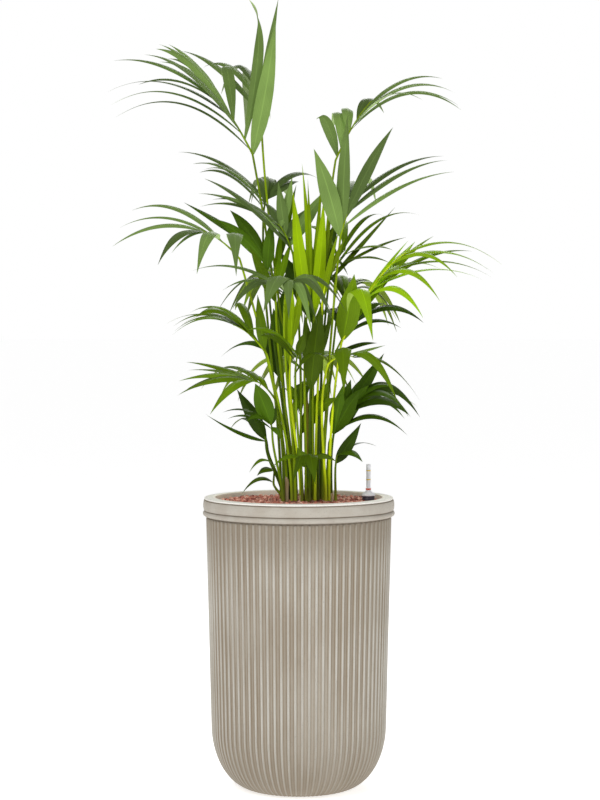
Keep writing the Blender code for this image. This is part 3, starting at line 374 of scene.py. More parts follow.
        one(TILTED, 0.02, (0.267, -0.08, 0.867), 0.046, 0.02),
        fan(TILTED, 3, (0.3, (0.272, -0.13, 0.916), 0.044, 0.026), (0.95, (0.297, 0, 0.912), 0.05, 0.024)),
        one(LEVEL, 0.8, (0.291, 0.09, 0.937), 0.03, 0.016),
        fan(FRONT, 2, (0.05, (0.172, -0.06, 0.99), 0.006, 0.034), (0.25, (0.128, -0.05, 1.004), 0, 0.028)),
        fan(LEVEL, 2, (0.6, (0.206, 0.06, 0.996), 0.01, 0.018), (0.4, (0.17, 0.1, 1.012), 0.02, 0.018)),
        one(FRONT, 0.7, (0.209, 0, 1.068), 0, 0.024),
    ), "dark"),
    Frond("right_arch", (0.055, 0.02), (0.086, 0.03, 1.06), (0.142, 0.04, 1.15), (
        one(TILTED, 0.05, (0.192, -0.03, 1.093), 0.01, 0.016),
        one(LEVEL, 0.4, (0.251, 0.03, 1.13), 0.03, 0.014),
        one(TILTED, 0.65, (0.306, -0.04, 1.143), 0.046, 0.018),
        one(LEVEL, 1, (0.212, 0.08, 1.188), 0.018, 0.022),
        fan(UP, 3, (0.5, (0.03, 0.26, 1.12), 0.06, 0.026), (1, (0.18, 0.34, 1.12), 0.06, 0.024)),
    ), "dark"),
    Frond("left_low", (-0.037, -0.021), (-0.058, -0.034, 0.955), (-0.116, -0.04, 1), (
        fan(TILTED, 3,
            (0.75, (-0.277, 0.04, 1.047), 0.01, 0.016), (1, (-0.297, -0.07, 0.965), 0.022, 0.02)),
        one(TILTED, 0.95, (-0.218, -0.16, 0.918), 0.024, 0.022, 0.4),
        fan(UP, 2, (0.3, (-0.15, 0.05, 0.95), 0.05, 0.02), (0.7, (-0.24, 0.18, 0.98), 0.05, 0.02)),
    )),
    Frond("left_small", (-0.039, -0.044), (-0.065, -0.062, 0.87), (-0.07, -0.07, 0.892), (
        one(FRONT, 0.8, (-0.107, -0.08, 0.994), 0.006, 0.04),
        fan(LEVEL, 2,
            (0.6, (-0.187, -0.13, 0.923), 0.02, 0.017), (0.2, (-0.176, -0.09, 0.907), 0.02, 0.015)),
        one(FRONT, 0.5, (-0.055, -0.06, 0.94), 0, 0.014),
        one(TILTED, 0.3, (-0.044, -0.13, 0.856), 0.01, 0.016),
    ), "dark"),
    Frond("left_foot", (-0.037, 0.013), (-0.079, 0.01, 0.842), (-0.086, 0.012, 0.858), (
        one(FRONT, 0.3, (-0.152, 0, 0.98), 0, 0.031),
        one(LEVEL, 0.2, (-0.228, -0.02, 0.918), -0.006, 0.018),
        one(UP, 0.9, (-0.17, 0.16, 0.88), 0.04, 0.022),
    ), "dark", girth=1.6),
    Frond("low_left", (-0.037, -0.031), (-0.062, -0.034, 0.75), (-0.058, -0.05, 0.79), (
        one(LEVEL, 0.8, (-0.122, -0.09, 0.775), 0.026, 0.015),
        one(TILTED, 0.5, (-0.103, -0.07, 0.767), 0.01, 0.022),
        one(LEVEL, 0, (-0.141, -0.03, 0.721), 0.024, 0.014),
    )),
    Frond("low_front", (0.022, -0.05), (0.022, -0.082, 0.775), (0.02, -0.092, 0.806), (
        one(LEVEL, 0.6, (-0.066, -0.14, 0.787), 0.02, 0.014),
        one(UP, 0.6, (-0.015, -0.19, 0.75), 0.03, 0.024, 0.3),
        one(UP, 0.9, (0.041, -0.2, 0.746), 0.032, 0.034, 0.3),
        one(TILTED, 1, (0.092, -0.13, 0.802), 0.014, 0.018),
        one(FRONT, 0.2, (-0.004, -0.07, 0.836), 0, 0.028),
    ), "dark"),
    Frond("low_right", (0.09, -0.028), (0.09, -0.044, 0.785), (0.096, -0.05, 0.816), (
        one(FRONT, 0.2, (0.153, -0.05, 0.897), -0.004, 0.027),
        one(LEVEL, 0.9, (0.157, -0.1, 0.801), 0.016, 0.024),
        one(UP, 0.6, (0.19, 0.09, 0.84), 0.02, 0.018),
    ), "dark"),
    Frond("back_low", (0.022, 0.081), (0.02, 0.15, 1.01), (0.022, 0.24, 1.06), (
        fan(UP, 3, (0.1, (-0.14, 0.26, 0.99), 0.06, 0.028), (0.9, (-0.06, 0.46, 0.96), 0.06, 0.028)),
        fan(UP, 3, (0.2, (0.17, 0.28, 0.99), 0.06, 0.028), (1, (0.08, 0.48, 0.96), 0.06, 0.028)),
    )),
    Frond("back_mid", (-0.006, 0.081), (-0.034, 0.15, 1.19), (-0.04, 0.26, 1.27), (
        fan(UP, 3, (0.1, (-0.2, 0.24, 1.17), 0.07, 0.03), (0.9, (-0.13, 0.5, 1.15), 0.06, 0.03)),
        fan(UP, 3, (0.2, (0.11, 0.26, 1.19), 0.07, 0.03), (1, (0.01, 0.54, 1.14), 0.06, 0.03)),
    ), "dark"),
    Frond("back_right", (0.061, 0.085), (0.094, 0.16, 1.17), (0.13, 0.26, 1.24), (
        fan(UP, 3, (0.1, (0.24, 0.2, 1.15), 0.07, 0.028), (0.9, (0.24, 0.46, 1.12), 0.06, 0.028)),
        fan(UP, 2, (0.4, (0.05, 0.36, 1.2), 0.06, 0.028), (1, (0.12, 0.52, 1.13), 0.06, 0.028)),
    )),
)

# more leaflets of some fronds, within their reach
FILLING = {
    "right_low": (
        one(FRONT, 0.02, (0.15, -0.1, 0.976), 0.004, 0.032),
        one(FRONT, 0, (0.108, -0.08, 0.99), 0, 0.028),
        one(LEVEL, 0.5, (0.236, -0.07, 0.985), 0.026, 0.016),
    ),
    "low_centre": (one(FRONT, 0.3, (0.096, -0.09, 0.96), 0.008, 0.028),),
    "right_bright": (
        one(TILTED, 0.2, (0.268, 0.02, 1.344), 0.008, 0.012),
        one(TILTED, 0.35, (0.425, 0.03, 1.318), 0.04, 0.013),
    ),
    "right_dark": (one(TILTED, 0.2, (0.262, -0.06, 1.352), 0.012, 0.016),),
    "left_mid": (
        one(FRONT, 0.5, (-0.05, -0.02, 1.486), 0, 0.024),
        one(FRONT, 0.8, (-0.016, 0.02, 1.5), 0, 0.02),
    ),
    "left_dark": (one(FRONT, 0.4, (-0.204, -0.04, 1.396), 0.014, 0.026),),
    "left_small": (one(TILTED, 0.4, (-0.128, -0.12, 0.9), 0.02, 0.02),),
}


def placed(across, depth, height):
    """The place that shows at across and height on the plane through the axis, at its own depth."""
    farther = 1 + depth / EYE_DISTANCE
    return Vector((across * farther, depth, EYE_HEIGHT + (height - EYE_HEIGHT) * farther))


def flattened(place):
    """The across, depth and height that a place shows at, as placed() takes them."""
    farther = 1 + place.y / EYE_DISTANCE
    return place.x / farther, place.y, EYE_HEIGHT + (place.z - EYE_HEIGHT) / farther


def cubic(a, b, c, d, t):
    return a * (1 - t) ** 3 + b * 3 * t * (1 - t) ** 2 + c * 3 * t**2 * (1 - t) + d * t**3


def quadratic(a, b, c, t):
    return a * (1 - t) ** 2 + b * 2 * t * (1 - t) + c * t**2


def rib_point(frond, share):
    neck, end = placed(*frond.neck), placed(*frond.end)
    return quadratic(neck, (neck + end) / 2 + UP * 2 * frond.rib_rise, end, share)


def stalk_path(frond, steps):
    """Points and radii of a frond's stalk and rib in fine steps."""
    foot = Vector((*frond.foot, FILL_TOP + GAP))
    neck = rib_point(frond, 0)
    onward = ((rib_point(frond, 0.05) - neck).normalized() + UP * STALK_UPRIGHT).normalized()
    reach = (neck.z - foot.z) / 3
    low_steps = steps * 3 // 4
    low, middle, high = (radius * frond.girth for radius in STALK_RADIUS)
    points, radii = [], []
    for i in range(low_steps):
        share = i / low_steps
        points.append(cubic(foot, foot + UP * reach, neck - onward * reach, neck, share))
        radii.append(low + (middle - low) * share)
    for i in range(steps - low_steps + 1):
        share = i / (steps - low_steps)
        points.append(rib_point(frond, share))
        radii.append(middle + (high - middle) * share)
    return points, radii


def between(a, b, share, rule, jitter):
    """The leaflet at this share of the way from one to another, its tip shifted at random."""
    shift = [rule.uniform(-TIP_JITTER, TIP_JITTER) * jitter for _ in range(3)]
    tip = tuple(u + (v - u) * share + d for u, v, d in zip(a.tip, b.tip, shift))
    at, rise, width, knee, lean = (
        getattr(a, name) + (getattr(b, name) - getattr(a, name)) * share
        for name in ("at", "rise", "width", "knee", "lean"))
    return Leaf(at, tip, rise, width, knee, lean)


def leaves_of(frond):
    """Every leaflet of a frond as (leaf, facing, twist, generator), worked out from its fans."""
    found = []
    for number, group in enumerate(frond.fans + FILLING.get(frond.name, ())):
        first, last = group.first, group.last
        gaps = max(group.count - 1, 1)
        for i in range(group.count):
            rule = random.Random(f"{frond.name} {number} {i}")
            leaf = between(first, last, i / gaps, rule, int(0 < i < gaps)) if last else first
            twist = CURLED.get((frond.name, number), rule.uniform(-TWIST, TWIST))
            found.append((leaf, group.facing, twist, rule))
        wide = last and math.dist(first.tip, last.tip) / gaps > WIDE_GAP
        for i in range(gaps if wide and frond.name not in THIN_FRONDS else 0):
            rule = random.Random(f"{frond.name} {number} between {i}")
            leaf = between(first, last, (i + rule.uniform(*BETWEEN_PLACE)) / gaps, rule, 1)
            root, tip = rib_point(frond, leaf.at), placed(*leaf.tip)
            leaf.tip = tuple(flattened(root + (tip - root) * rule.uniform(*BETWEEN_LENGTH)))
            leaf.width *= rule.uniform(*BETWEEN_WIDTH)
            found.append((leaf, group.facing, rule.uniform(-TWIST, TWIST), rule))
    return found


# Mesh helpers


def unit(rows):
    return rows / np.linalg.norm(rows, axis=-1, keepdims=True)


def even_turns(count):
    return 2 * math.pi * np.arange(count) / count


def grid_faces(rows, columns, closed=False, flip=False):
    """Quads over a grid of rows and columns of vertices."""
    spans = np.arange(columns if closed else columns - 1)
    r, c = (axis.ravel() for axis in np.meshgrid(np.arange(rows - 1), spans, indexing="ij"))
    d = (c + 1) % columns
    low, high = r * columns, (r + 1) * columns
    quads = np.stack([low + c, low + d, high + d, high + c], axis=1)
    return quads[:, ::-1] if flip else quads


def turned_rows(profile, turns, centre=(0, 0)):
    """A grid of points from (radius, height) pairs swept round the turns."""
    profile = np.array(profile, float)
    x = centre[0] + profile[:, :1] * np.sin(turns)[None]
    y = centre[1] - profile[:, :1] * np.cos(turns)[None]
    return np.stack([x, y, np.repeat(profile[:, 1:], len(turns), axis=1)], axis=-1)


def tube_rows(points, radii, sides, flat=1.0, shape=1.0):
    """Rings round a path, with an outline of their own."""
    path = np.array([list(p) for p in points])
    along = unit(np.gradient(path, axis=0))
    side = unit(np.cross(along, [0.0, 1.0, 0.0]))
    turns = even_turns(sides)
    wide = np.array(radii)[:, None] * shape
    rows = path[:, None] + side[:, None] * (np.cos(turns) * wide)[..., None]
    return rows + np.cross(along, side)[:, None] * (np.sin(turns) * wide * flat)[..., None]


def arc(centre, radius, start, end, count):
    """Points of an arc in (radius, height), in degrees."""
    angles = np.radians(np.linspace(start, end, count))
    return [(centre[0] + radius * math.cos(a), centre[1] + radius * math.sin(a)) for a in angles]


def linked(name, data):
    obj = bpy.data.objects.new(name, data)
    bpy.context.scene.collection.objects.link(obj)
    return obj


class Builder:
    """Gathers vertices, faces, texture places and material numbers of one joined piece."""

    def __init__(self):
        self.points, self.faces, self.marks, self.places, self.count = [], [], [], [], 0

    def solid(self, points, faces, mark, places=None):
        self.points.append(points)
        self.faces.append(faces + self.count)
        self.marks.append(np.full(len(faces), mark))
        self.places.append(np.zeros((len(points), 2)) if places is None else places)
        self.count += len(points)

    def grid(self, points, mark=0, closed=False, flip=False, places=None):
        faces = grid_faces(*points.shape[:2], closed, flip)
        self.solid(points.reshape(-1, 3), faces, mark, None if places is None else places.reshape(-1, 2))

    def piece(self, name, materials, slot, *nodes):
        data = bpy.data.meshes.new(name)
        points = np.concatenate(self.points)
        faces = np.concatenate(self.faces)
        data.vertices.add(len(points))
        data.vertices.foreach_set("co", points.ravel())
        data.loops.add(faces.size)
        data.loops.foreach_set("vertex_index", faces.ravel())
        data.polygons.add(len(faces))
        data.polygons.foreach_set("loop_start", np.arange(0, faces.size, faces.shape[1]))
        data.polygons.foreach_set("material_index", np.concatenate(self.marks))
        data.polygons.foreach_set("use_smooth", np.full(len(faces), True))
        layer = data.uv_layers.new(name="UVMap")
        layer.data.foreach_set("uv", np.concatenate(self.places)[faces.ravel()].ravel())
        data.update(calc_edges=True)
        data.validate()
        for material in materials:
            data.materials.append(material)
        obj = linked(name, data)
        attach(obj, "root")
        if nodes:
            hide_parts(*nodes)


# Materials


class Nodes:
    """Short ways to make and join the shader nodes of one material."""

    def __init__(self, name, roughness, **fixed):
        self.material = bpy.data.materials.new(name)
        self.material.use_nodes = True
        self.tree = self.material.node_tree
        self.shader = self.tree.nodes["Principled BSDF"]
        self.shader.inputs["Roughness"].default_value = roughness
        for key, value in fixed.items():
            self.shader.inputs[key.replace("_", " ")].default_value = value

    def put(self, source, socket):
        """Set a socket to a number, a vector or a colour, or link it to another node's output."""
        if isinstance(source, (int, float)):
            socket.default_value = source
        elif isinstance(source, tuple):
            socket.default_value = (*source, 1)[:len(socket.default_value)]
        else:
            self.tree.links.new(source, socket)

    def node(self, kind, inputs, **settings):
        made = self.tree.nodes.new(kind)
        for key, value in settings.items():
            setattr(made, key, value)
        for key, source in inputs.items():
            self.put(source, made.inputs[key])
        return made.outputs

    def math(self, operation, *values):
        return self.node("ShaderNodeMath", dict(enumerate(values)), operation=operation)[0]

    def times(self, first, second):
        return self.math("MULTIPLY", first, second)

    def plus(self, first, second):
        return self.math("ADD", first, second)

    def off(self, value, level):
        """How far a value lies from a level."""
        return self.math("ABSOLUTE", self.math("SUBTRACT", value, level))

    def ramp(self, value, low, high, start=0.0, end=1.0):
        """A smooth step from start to end, while the value goes from low to high."""
        inputs = {"Value": value, "From Min": low, "From Max": high, "To Min": start, "To Max": end}
        return self.node("ShaderNodeMapRange", inputs, interpolation_type="SMOOTHSTEP")["Result"]

    def mix(self, factor, first, second):
        """A blend of two colours."""
        inputs = {"Factor": factor, 6: first, 7: second}
        return self.node("ShaderNodeMix", inputs, data_type="RGBA")[2]

    def place(self, which):
        return self.node("ShaderNodeTexCoord", {})[which]

    def split(self, which):
        return self.node("ShaderNodeSeparateXYZ", {0: self.place(which)})

    def noise(self, scale, detail=3.0, stretch=(1, 1, 1)):
        place = self.node("ShaderNodeMapping", {"Vector": self.place("Object"), "Scale": stretch})[0]
        return self.node("ShaderNodeTexNoise", {"Vector": place, "Scale": scale, "Detail": detail})["Fac"]

    def colour(self, source):
        self.put(source, self.shader.inputs["Base Color"])

    def bump(self, height, distance, strength):
        made = self.node("ShaderNodeBump", {"Height": height, "Distance": distance, "Strength": strength})
        self.put(made[0], self.shader.inputs["Normal"])


def linear(red, green, blue):
    """A colour from its screen values, 0 to 255."""
    return tuple(((c / 255 + 0.055) / 1.055) ** 2.4 if c > 10 else c / 3294.6 for c in (red, green, blue))


def shaded(colour, factor):
    return tuple(min(1.0, c * factor) for c in colour)


def leaf_material(name, colour, factor, roughness):
    """A blade's skin: fine veins along it, a pale midrib, and soft light and dark patches."""
    base = shaded(linear(*colour), factor)
    n = Nodes(name, roughness, Specular_IOR_Level=LEAF_SHEEN)
    across = n.split("UV")[0]
    veins = n.math("SINE", n.times(across, 2 * math.pi * VEIN_COUNT))
    midrib = n.ramp(n.off(across, 0.5), 0.05, 0.015)
    body = n.mix(n.ramp(n.noise(9, 2), 0.3, 0.7), shaded(base, 0.86), shaded(base, 1.14))
    body = n.mix(n.ramp(veins, -1.0, 1.0, 0.0, 0.32), body, shaded(base, 0.66))
    n.colour(n.mix(n.times(midrib, 0.45), body, shaded(base, 1.55)))
    n.bump(n.plus(veins, n.times(midrib, 3.0)), 0.00015, 0.6)
    return n.material


def stalk_material(name, colour):
    """A stalk's skin: streaks along it, and a browner foot."""
    base = linear(*colour)
    n = Nodes(name, 0.45, Specular_IOR_Level=STALK_SHEEN)
    streaks = n.ramp(n.noise(90, 3, (1, 1, 0.06)), 0.38, 0.62)
    body = n.mix(streaks, shaded(base, 0.72), shaded(base, 1.18))
    uneven = n.plus(n.split("Object")[2], n.times(n.noise(40), 0.05))
    foot = n.ramp(uneven, FILL_TOP + 0.085, FILL_TOP + 0.02)
    n.colour(n.mix(n.times(foot, 0.4), body, linear(*STALK_FOOT_COLOUR)))
    n.bump(streaks, 0.0006, 0.4)
    return n.material


def fluted_colour(n, cast, turn, z):
    """Rib crests painted pale as a highlight, brown wash and painted shade beside them, and darker ends.
    """
    phase = n.times(turn, RIB_COUNT / (2 * math.pi))
    off = n.off(n.math("FRACT", phase), 0.5)
    # painted highlight: the rib crests made pale
    crest = n.ramp(off, RIB_SHARE * 0.95, RIB_SHARE * 0.45)
    # brown wash and painted shade: a mask for the corners beside each crest
    corner_shade_and_wash = n.times(n.ramp(off, RIB_SHARE * 0.6, RIB_SHARE * 1.05),
                     n.ramp(off, RIB_SHARE * 1.9, RIB_SHARE * 1.15))
    streaks = n.ramp(n.noise(14, 4, (1, 1, 0.22)), 0.3, 0.72)
    pale = n.mix(n.ramp(n.noise(5, 3), 0.35, 0.7), cast["crest"], cast["dull crest"])
    ground = n.mix(streaks, cast["ground"], cast["pale ground"])
    # the ground darkened in those corners by brown wash and painted shade
    washed_and_shaded = n.mix(n.times(corner_shade_and_wash, n.ramp(streaks, 0.0, 1.0, 0.85, 0.4)), ground, cast["shaded wash"])
    ends = n.math("MAXIMUM", n.ramp(z, WALL_TOP - 0.13, WALL_TOP - 0.01), n.ramp(z, 0.2, 0.02))
    return n.mix(n.times(ends, 0.6), n.mix(crest, washed_and_shaded, pale), cast["ends"])


def rim_colour(n, cast, x, y, z):
    """The plain band with painted shade in its creases, the lip painted pale and the inside paler still,
    both painted light.
    """
    crease_shade = 0.0
    for level, width in SHADED_CREASES.items():
        crease_shade = n.math("MAXIMUM", crease_shade, n.ramp(n.off(z, level), width, 0.0006))
    plain = n.mix(n.ramp(n.noise(26, 4), 0.35, 0.72), cast["band"], cast["dull band"])
    # painted shade laid over the band along the creases
    body = n.mix(n.times(crease_shade, 0.75), plain, cast["crease_shade"])
    # painted light: the lip made pale
    body = n.mix(n.ramp(z, LIP_LOW, LIP_LOW + 0.0012), body, cast["lip"])
    radius = n.math("SQRT", n.plus(n.times(x, x), n.times(y, y)))
    # painted light: the inside made paler still, where its wall lies in shade
    return n.mix(n.ramp(radius, INNER_RADIUS + 0.008, INNER_RADIUS + 0.004), body, cast["inside"])


def planter_material():
    """Pale cast stone with fine specks and pores."""
    cast = {name: linear(*colour) for name, colour in CAST_COLOURS.items()}
    n = Nodes("planter_cast", 0.78, Specular_IOR_Level=0.3)
    x, y, z = n.split("Object")
    turn = n.math("ARCTAN2", x, n.times(y, -1.0))
    wall = n.ramp(z, WALL_TOP + 0.001, WALL_TOP - 0.002)
    body = n.mix(wall, rim_colour(n, cast, x, y, z), fluted_colour(n, cast, turn, z))
    specks = n.ramp(n.noise(420, 2), 0.6, 0.72)
    n.colour(n.mix(n.times(specks, 0.3), body, cast["speck"]))
    n.bump(n.plus(n.noise(150, 4), n.times(specks, -0.8)), 0.0012, 0.45)
    return n.material


def plain_material(name, colour, roughness, scale, depth, contrast, **fixed):
    """One colour with faint spots that also stand out a little."""
    base = linear(*colour)
    n = Nodes(name, roughness, **fixed)
    spots = n.noise(scale, 3)
    n.colour(n.mix(n.ramp(spots, 0.3, 0.7), shaded(base, 1 - contrast), shaded(base, 1 + contrast)))
    n.bump(spots, depth, 0.5)
    return n.material


# Planter and granules


def wall_radius(height):
    """The radius of the rib crests."""
    if height < CORNER_HEIGHT:
        fallen = 1 - height / CORNER_HEIGHT
        return BASE_RADIUS + (WALL_RADIUS - BASE_RADIUS) * math.sqrt(1 - fallen**2)
    risen = (height - CORNER_HEIGHT) / (WALL_TOP - CORNER_HEIGHT)
    return WALL_RADIUS + (WALL_TOP_RADIUS - WALL_RADIUS) * risen


def fluted_rows(turns):
    """Rings of the fluted wall, with rounded crests and slightly crowned ground between them."""
    off = np.abs((np.arange(len(turns)) / TURNS_PER_RIB) % 1 - 0.5)
    middle, half = (0.5 + RIB_SHARE) / 2, (0.5 - RIB_SHARE) / 2
    ground = GROUND_CROWN * (1 - ((off - middle) / half) ** 2)
    bump = np.where(off < RIB_SHARE, 1 - (off / RIB_SHARE) ** 2, ground)
    shares = [i / CORNER_STEPS for i in range(CORNER_STEPS + 1)]
    heights = [CORNER_HEIGHT * (1 - math.cos(math.pi / 2 * share)) for share in shares]
    heights += [*np.linspace(CORNER_HEIGHT + 0.02, WALL_TOP - 0.004, 14), WALL_TOP - 0.0015, WALL_TOP]
    rows = []
    for height in heights:
        crest = wall_radius(height)
        depth = RIB_HEIGHT * crest / WALL_RADIUS
        fade = 0.55 if height == WALL_TOP else 1.0
        radius = crest - depth * (1 - bump * fade)
        level = np.full(len(turns), height)
        rows.append(np.stack([radius * np.sin(turns), -radius * np.cos(turns), level], axis=-1))
    return rows


def rim_profile():
    """(radius, height) points over the recess, the bead, the crowned band, the lip and the inside."""
    bead = (BEAD_HIGH - BEAD_LOW) / 2
    rim = [(RECESS_RADIUS, WALL_TOP + 0.0012), (RECESS_RADIUS + 0.001, BEAD_LOW - 0.0012)]
    rim += arc((BEAD_RADIUS - bead, (BEAD_LOW + BEAD_HIGH) / 2), bead, -88, 88, 9)
    rim += [(BAND_RADIUS - 0.0022, BEAD_HIGH + 0.0006), (BAND_RADIUS - 0.002, BAND_LOW)]
    for i in range(BAND_STEPS + 1):
        share = i / BAND_STEPS
        rim.append((BAND_RADIUS - 0.0012 + BAND_CROWN * math.sin(math.pi * share),
                    BAND_LOW + 0.0008 + (BAND_HIGH - BAND_LOW - 0.0018) * share))
    rim += [(BAND_RADIUS - 0.0032, BAND_HIGH + 0.0002), (LIP_RADIUS - LIP_ROUND, LIP_LOW - 0.0004)]
    rim += arc((LIP_RADIUS - LIP_ROUND, LIP_LOW + LIP_ROUND), LIP_ROUND, -60, 90, 6)
    rim += [(LIP_RADIUS - 0.01, POT_HEIGHT), (INNER_RADIUS + 0.0025, POT_HEIGHT)]
    rim += arc((INNER_RADIUS + LIP_ROUND, POT_HEIGHT - LIP_ROUND), LIP_ROUND, 90, 180, 4)
    return rim + [(INNER_RADIUS, FILL_TOP - 0.004), (INNER_RADIUS, FILL_TOP - 0.018)]


def make_planter():
    turns = even_turns(RIB_COUNT * TURNS_PER_RIB)
    underside = turned_rows([(0.0005, 0)], turns)
    rows = np.concatenate([underside, np.array(fluted_rows(turns)), turned_rows(rim_profile(), turns)])
    rows[..., 2] = np.maximum(rows[..., 2], 0)
    made = Builder()
    made.grid(rows, closed=True)
    made.piece("planter_cast", [planter_material()], "planter", "planter")


def ball():
    """A small round lump: a cube's sphere as points and quads."""
    steps = 3
    line = np.tan(np.linspace(-math.pi / 4, math.pi / 4, steps + 1))
    u, v = np.meshgrid(line, line, indexing="ij")
    edge = np.ones_like(u)
    sides = [(edge, u, v), (-edge, v, u), (v, edge, u), (u, -edge, v), (u, v, edge), (v, u, -edge)]
    points = [unit(np.stack(side, axis=-1)).reshape(-1, 3) for side in sides]
    faces = [grid_faces(steps + 1, steps + 1) + number * (steps + 1) ** 2 for number in range(len(sides))]
    return np.concatenate(points), np.concatenate(faces)


def make_granules():
    """Fired clay lumps in a loose spiral layer over a dark bed: painted shade for the gaps between them.
    """
    rule = np.random.default_rng(11)
    points, faces = ball()
    made = Builder()
    for i in range(GRANULE_COUNT):
        spread = (INNER_RADIUS - 0.0065) * math.sqrt((i + 0.5) / GRANULE_COUNT)
        turn = i * GOLDEN_TURN
        place = np.array([spread * math.sin(turn), -spread * math.cos(turn), 0])
        place += rule.normal(0, 0.0016, 3)
        size = rule.uniform(*GRANULE_SIZE)
        place[2] = FILL_TOP - 0.0062 + rule.uniform(-0.003, 0.0022)
        waves = np.sin(points @ rule.normal(0, 3.0, (3, 3)) + rule.uniform(0, 6, 3))
        lump = points * (1 + GRANULE_DENT * waves.sum(1, keepdims=True) / 3)
        lump = lump * rule.uniform(0.82, 1.15, 3) * size
        spin = rule.uniform(0, 2 * math.pi)
        c, s = math.cos(spin), math.sin(spin)
        turned = lump @ np.array([[c, s, 0], [-s, c, 0], [0, 0, 1]])
        made.solid(turned + place, faces, int(rule.integers(len(GRANULE_COLOURS))))
    skins = [plain_material(f"granule_{k}", colour, 0.9, 260, 0.0008, 0.22)
             for k, colour in enumerate(GRANULE_COLOURS)]
    # the dark bed: painted shade in the gaps between the granules
    skins.append(plain_material("granule_bed", SHADE_BED_COLOUR, 0.95, 200, 0.001, 0.3))
    # the bed itself, a sheet of painted shade under the granules
    rings = [(0.0005 + (INNER_RADIUS - 0.0015) * k / 12, FILL_TOP - 0.01) for k in range(13)]
    made.grid(turned_rows(rings, even_turns(96)), len(GRANULE_COLOURS), closed=True, flip=True)
    made.piece("clay_granules", skins, "granules", "granules")


# Water gauge


def gauge_part(name, material, slot, *nodes, profiles, turns=even_turns(48), closed=True):
    """A piece of the gauge, turned round its axis from one or more profiles."""
    made = Builder()
    for profile in profiles:
        made.grid(turned_rows(profile, turns, GAUGE_PLACE), closed=closed)
    made.piece(name, [material], slot, *nodes)


def make_gauge_base():
    radius, deck, foot = GAUGE_BASE[0], GAUGE_DECK, GAUGE_FOOT
    profile = [(0.0004, foot), (radius - 0.001, foot), (radius, foot + 0.001), (radius, foot + 0.004),
               (radius - 0.0006, foot + 0.0046), (radius - 0.0006, deck - 0.0052), (radius, deck - 0.0046),
               (radius, deck - 0.001), (radius - 0.001, deck), (0.0004, deck)]
    dark = plain_material("gauge_dark", (58, 54, 66), 0.35, 300, 0.0002, 0.1)
    gauge_part("gauge_socket", dark, "gauge_base", "gauge_base", profiles=[profile])


def make_gauge_tube():
    """The clear tube that flares into a dome at its foot."""
    outer, inner, top, neck = *GAUGE_TUBE[:2], GAUGE_TOP, GAUGE_NECK
    dome, low = GAUGE_DOME_RADIUS, GAUGE_DECK + GAP
    rim = low + 0.003
    shell = [(dome - 0.0014, low), (dome - 0.0002, low), (dome, low + 0.0004), (dome, rim)]
    for i in range(1, 9):
        share = i / 8
        shell.append((dome + (outer - dome) * share**1.05, rim + (neck - rim) * share**1.1))
    shell += [(outer, top - 0.0006), (outer - 0.0006, top), (inner, top), (inner, top - 0.0008),
              (0.0004, top - 0.0012), (0.0004, top - 0.0018), (inner - 0.0002, top - 0.0018),
              (inner, neck - 0.001), (inner * 1.4, neck - 0.004), (dome - 0.0014, rim - 0.0014),
              (dome - 0.0014, low)]
    clear = Nodes("gauge_clear", 0.3, Transmission_Weight=0.25, IOR=1.25)
    haze = clear.noise(120, 2)
    clear.colour(clear.mix(haze, linear(236, 236, 240), linear(246, 246, 250)))
    clear.bump(haze, 0.0002, 0.2)
    gauge_part("gauge_sight_tube", clear.material, "gauge_clear", "gauge_tube", profiles=[shell])


def make_gauge_float():
    """The red needle with its bead, and the red collar at the tube's foot."""
    outer, low, level = GAUGE_TUBE[0], GAUGE_DECK + GAP, GAUGE_NECK + NEEDLE_BEAD
    stick = [(0.0003, low), (0.0011, low), (0.0011, GAUGE_NECK + 0.0004)]
    stick += [(max(r, 0.0002), z) for r, z in arc((0, level), NEEDLE_BEAD, -66, 90, 10)]
    collar = arc((outer + 0.0002, level), 0.0018, -90, 90, 7)
    red = plain_material("gauge_red", (216, 74, 30), 0.4, 300, 0.0001, 0.08)
    gauge_part("gauge_needle", red, "gauge_float", "gauge_float", profiles=[stick, collar])


def make_gauge_marks():
    outer = GAUGE_TUBE[0]
    marks = [[(outer - 0.0002, level - 0.0011), *arc((outer + 0.0001, level), 0.0011, -90, 90, 5),
              (outer - 0.0002, level + 0.0011)] for level in MARK_LEVELS]
    yellow = plain_material("gauge_yellow", (232, 196, 60), 0.5, 300, 0.0001, 0.06)
    gauge_part("gauge_marks", yellow, "gauge_float", profiles=marks, turns=np.linspace(-1.2, 1.2, 24),
               closed=False)


# Plant


def blade_axes(root, over, tip, facing, twist, t):
    """Places along a leaflet, with the directions across it and out of its upper face."""
    along = unit(2 * (1 - t) * (over - root) + 2 * t * (tip - over))
    flat = np.cross(unit(tip - root), np.array(facing))
    across = unit(flat - along * (along @ flat)[:, None])
    face = np.cross(across, along)
    turn = twist * t ** (3 if abs(twist) > 1 else 1)
    c, s = np.cos(turn), np.sin(turn)
    return quadratic(root, over, tip, t), across * c + face * s, face * c - across * s


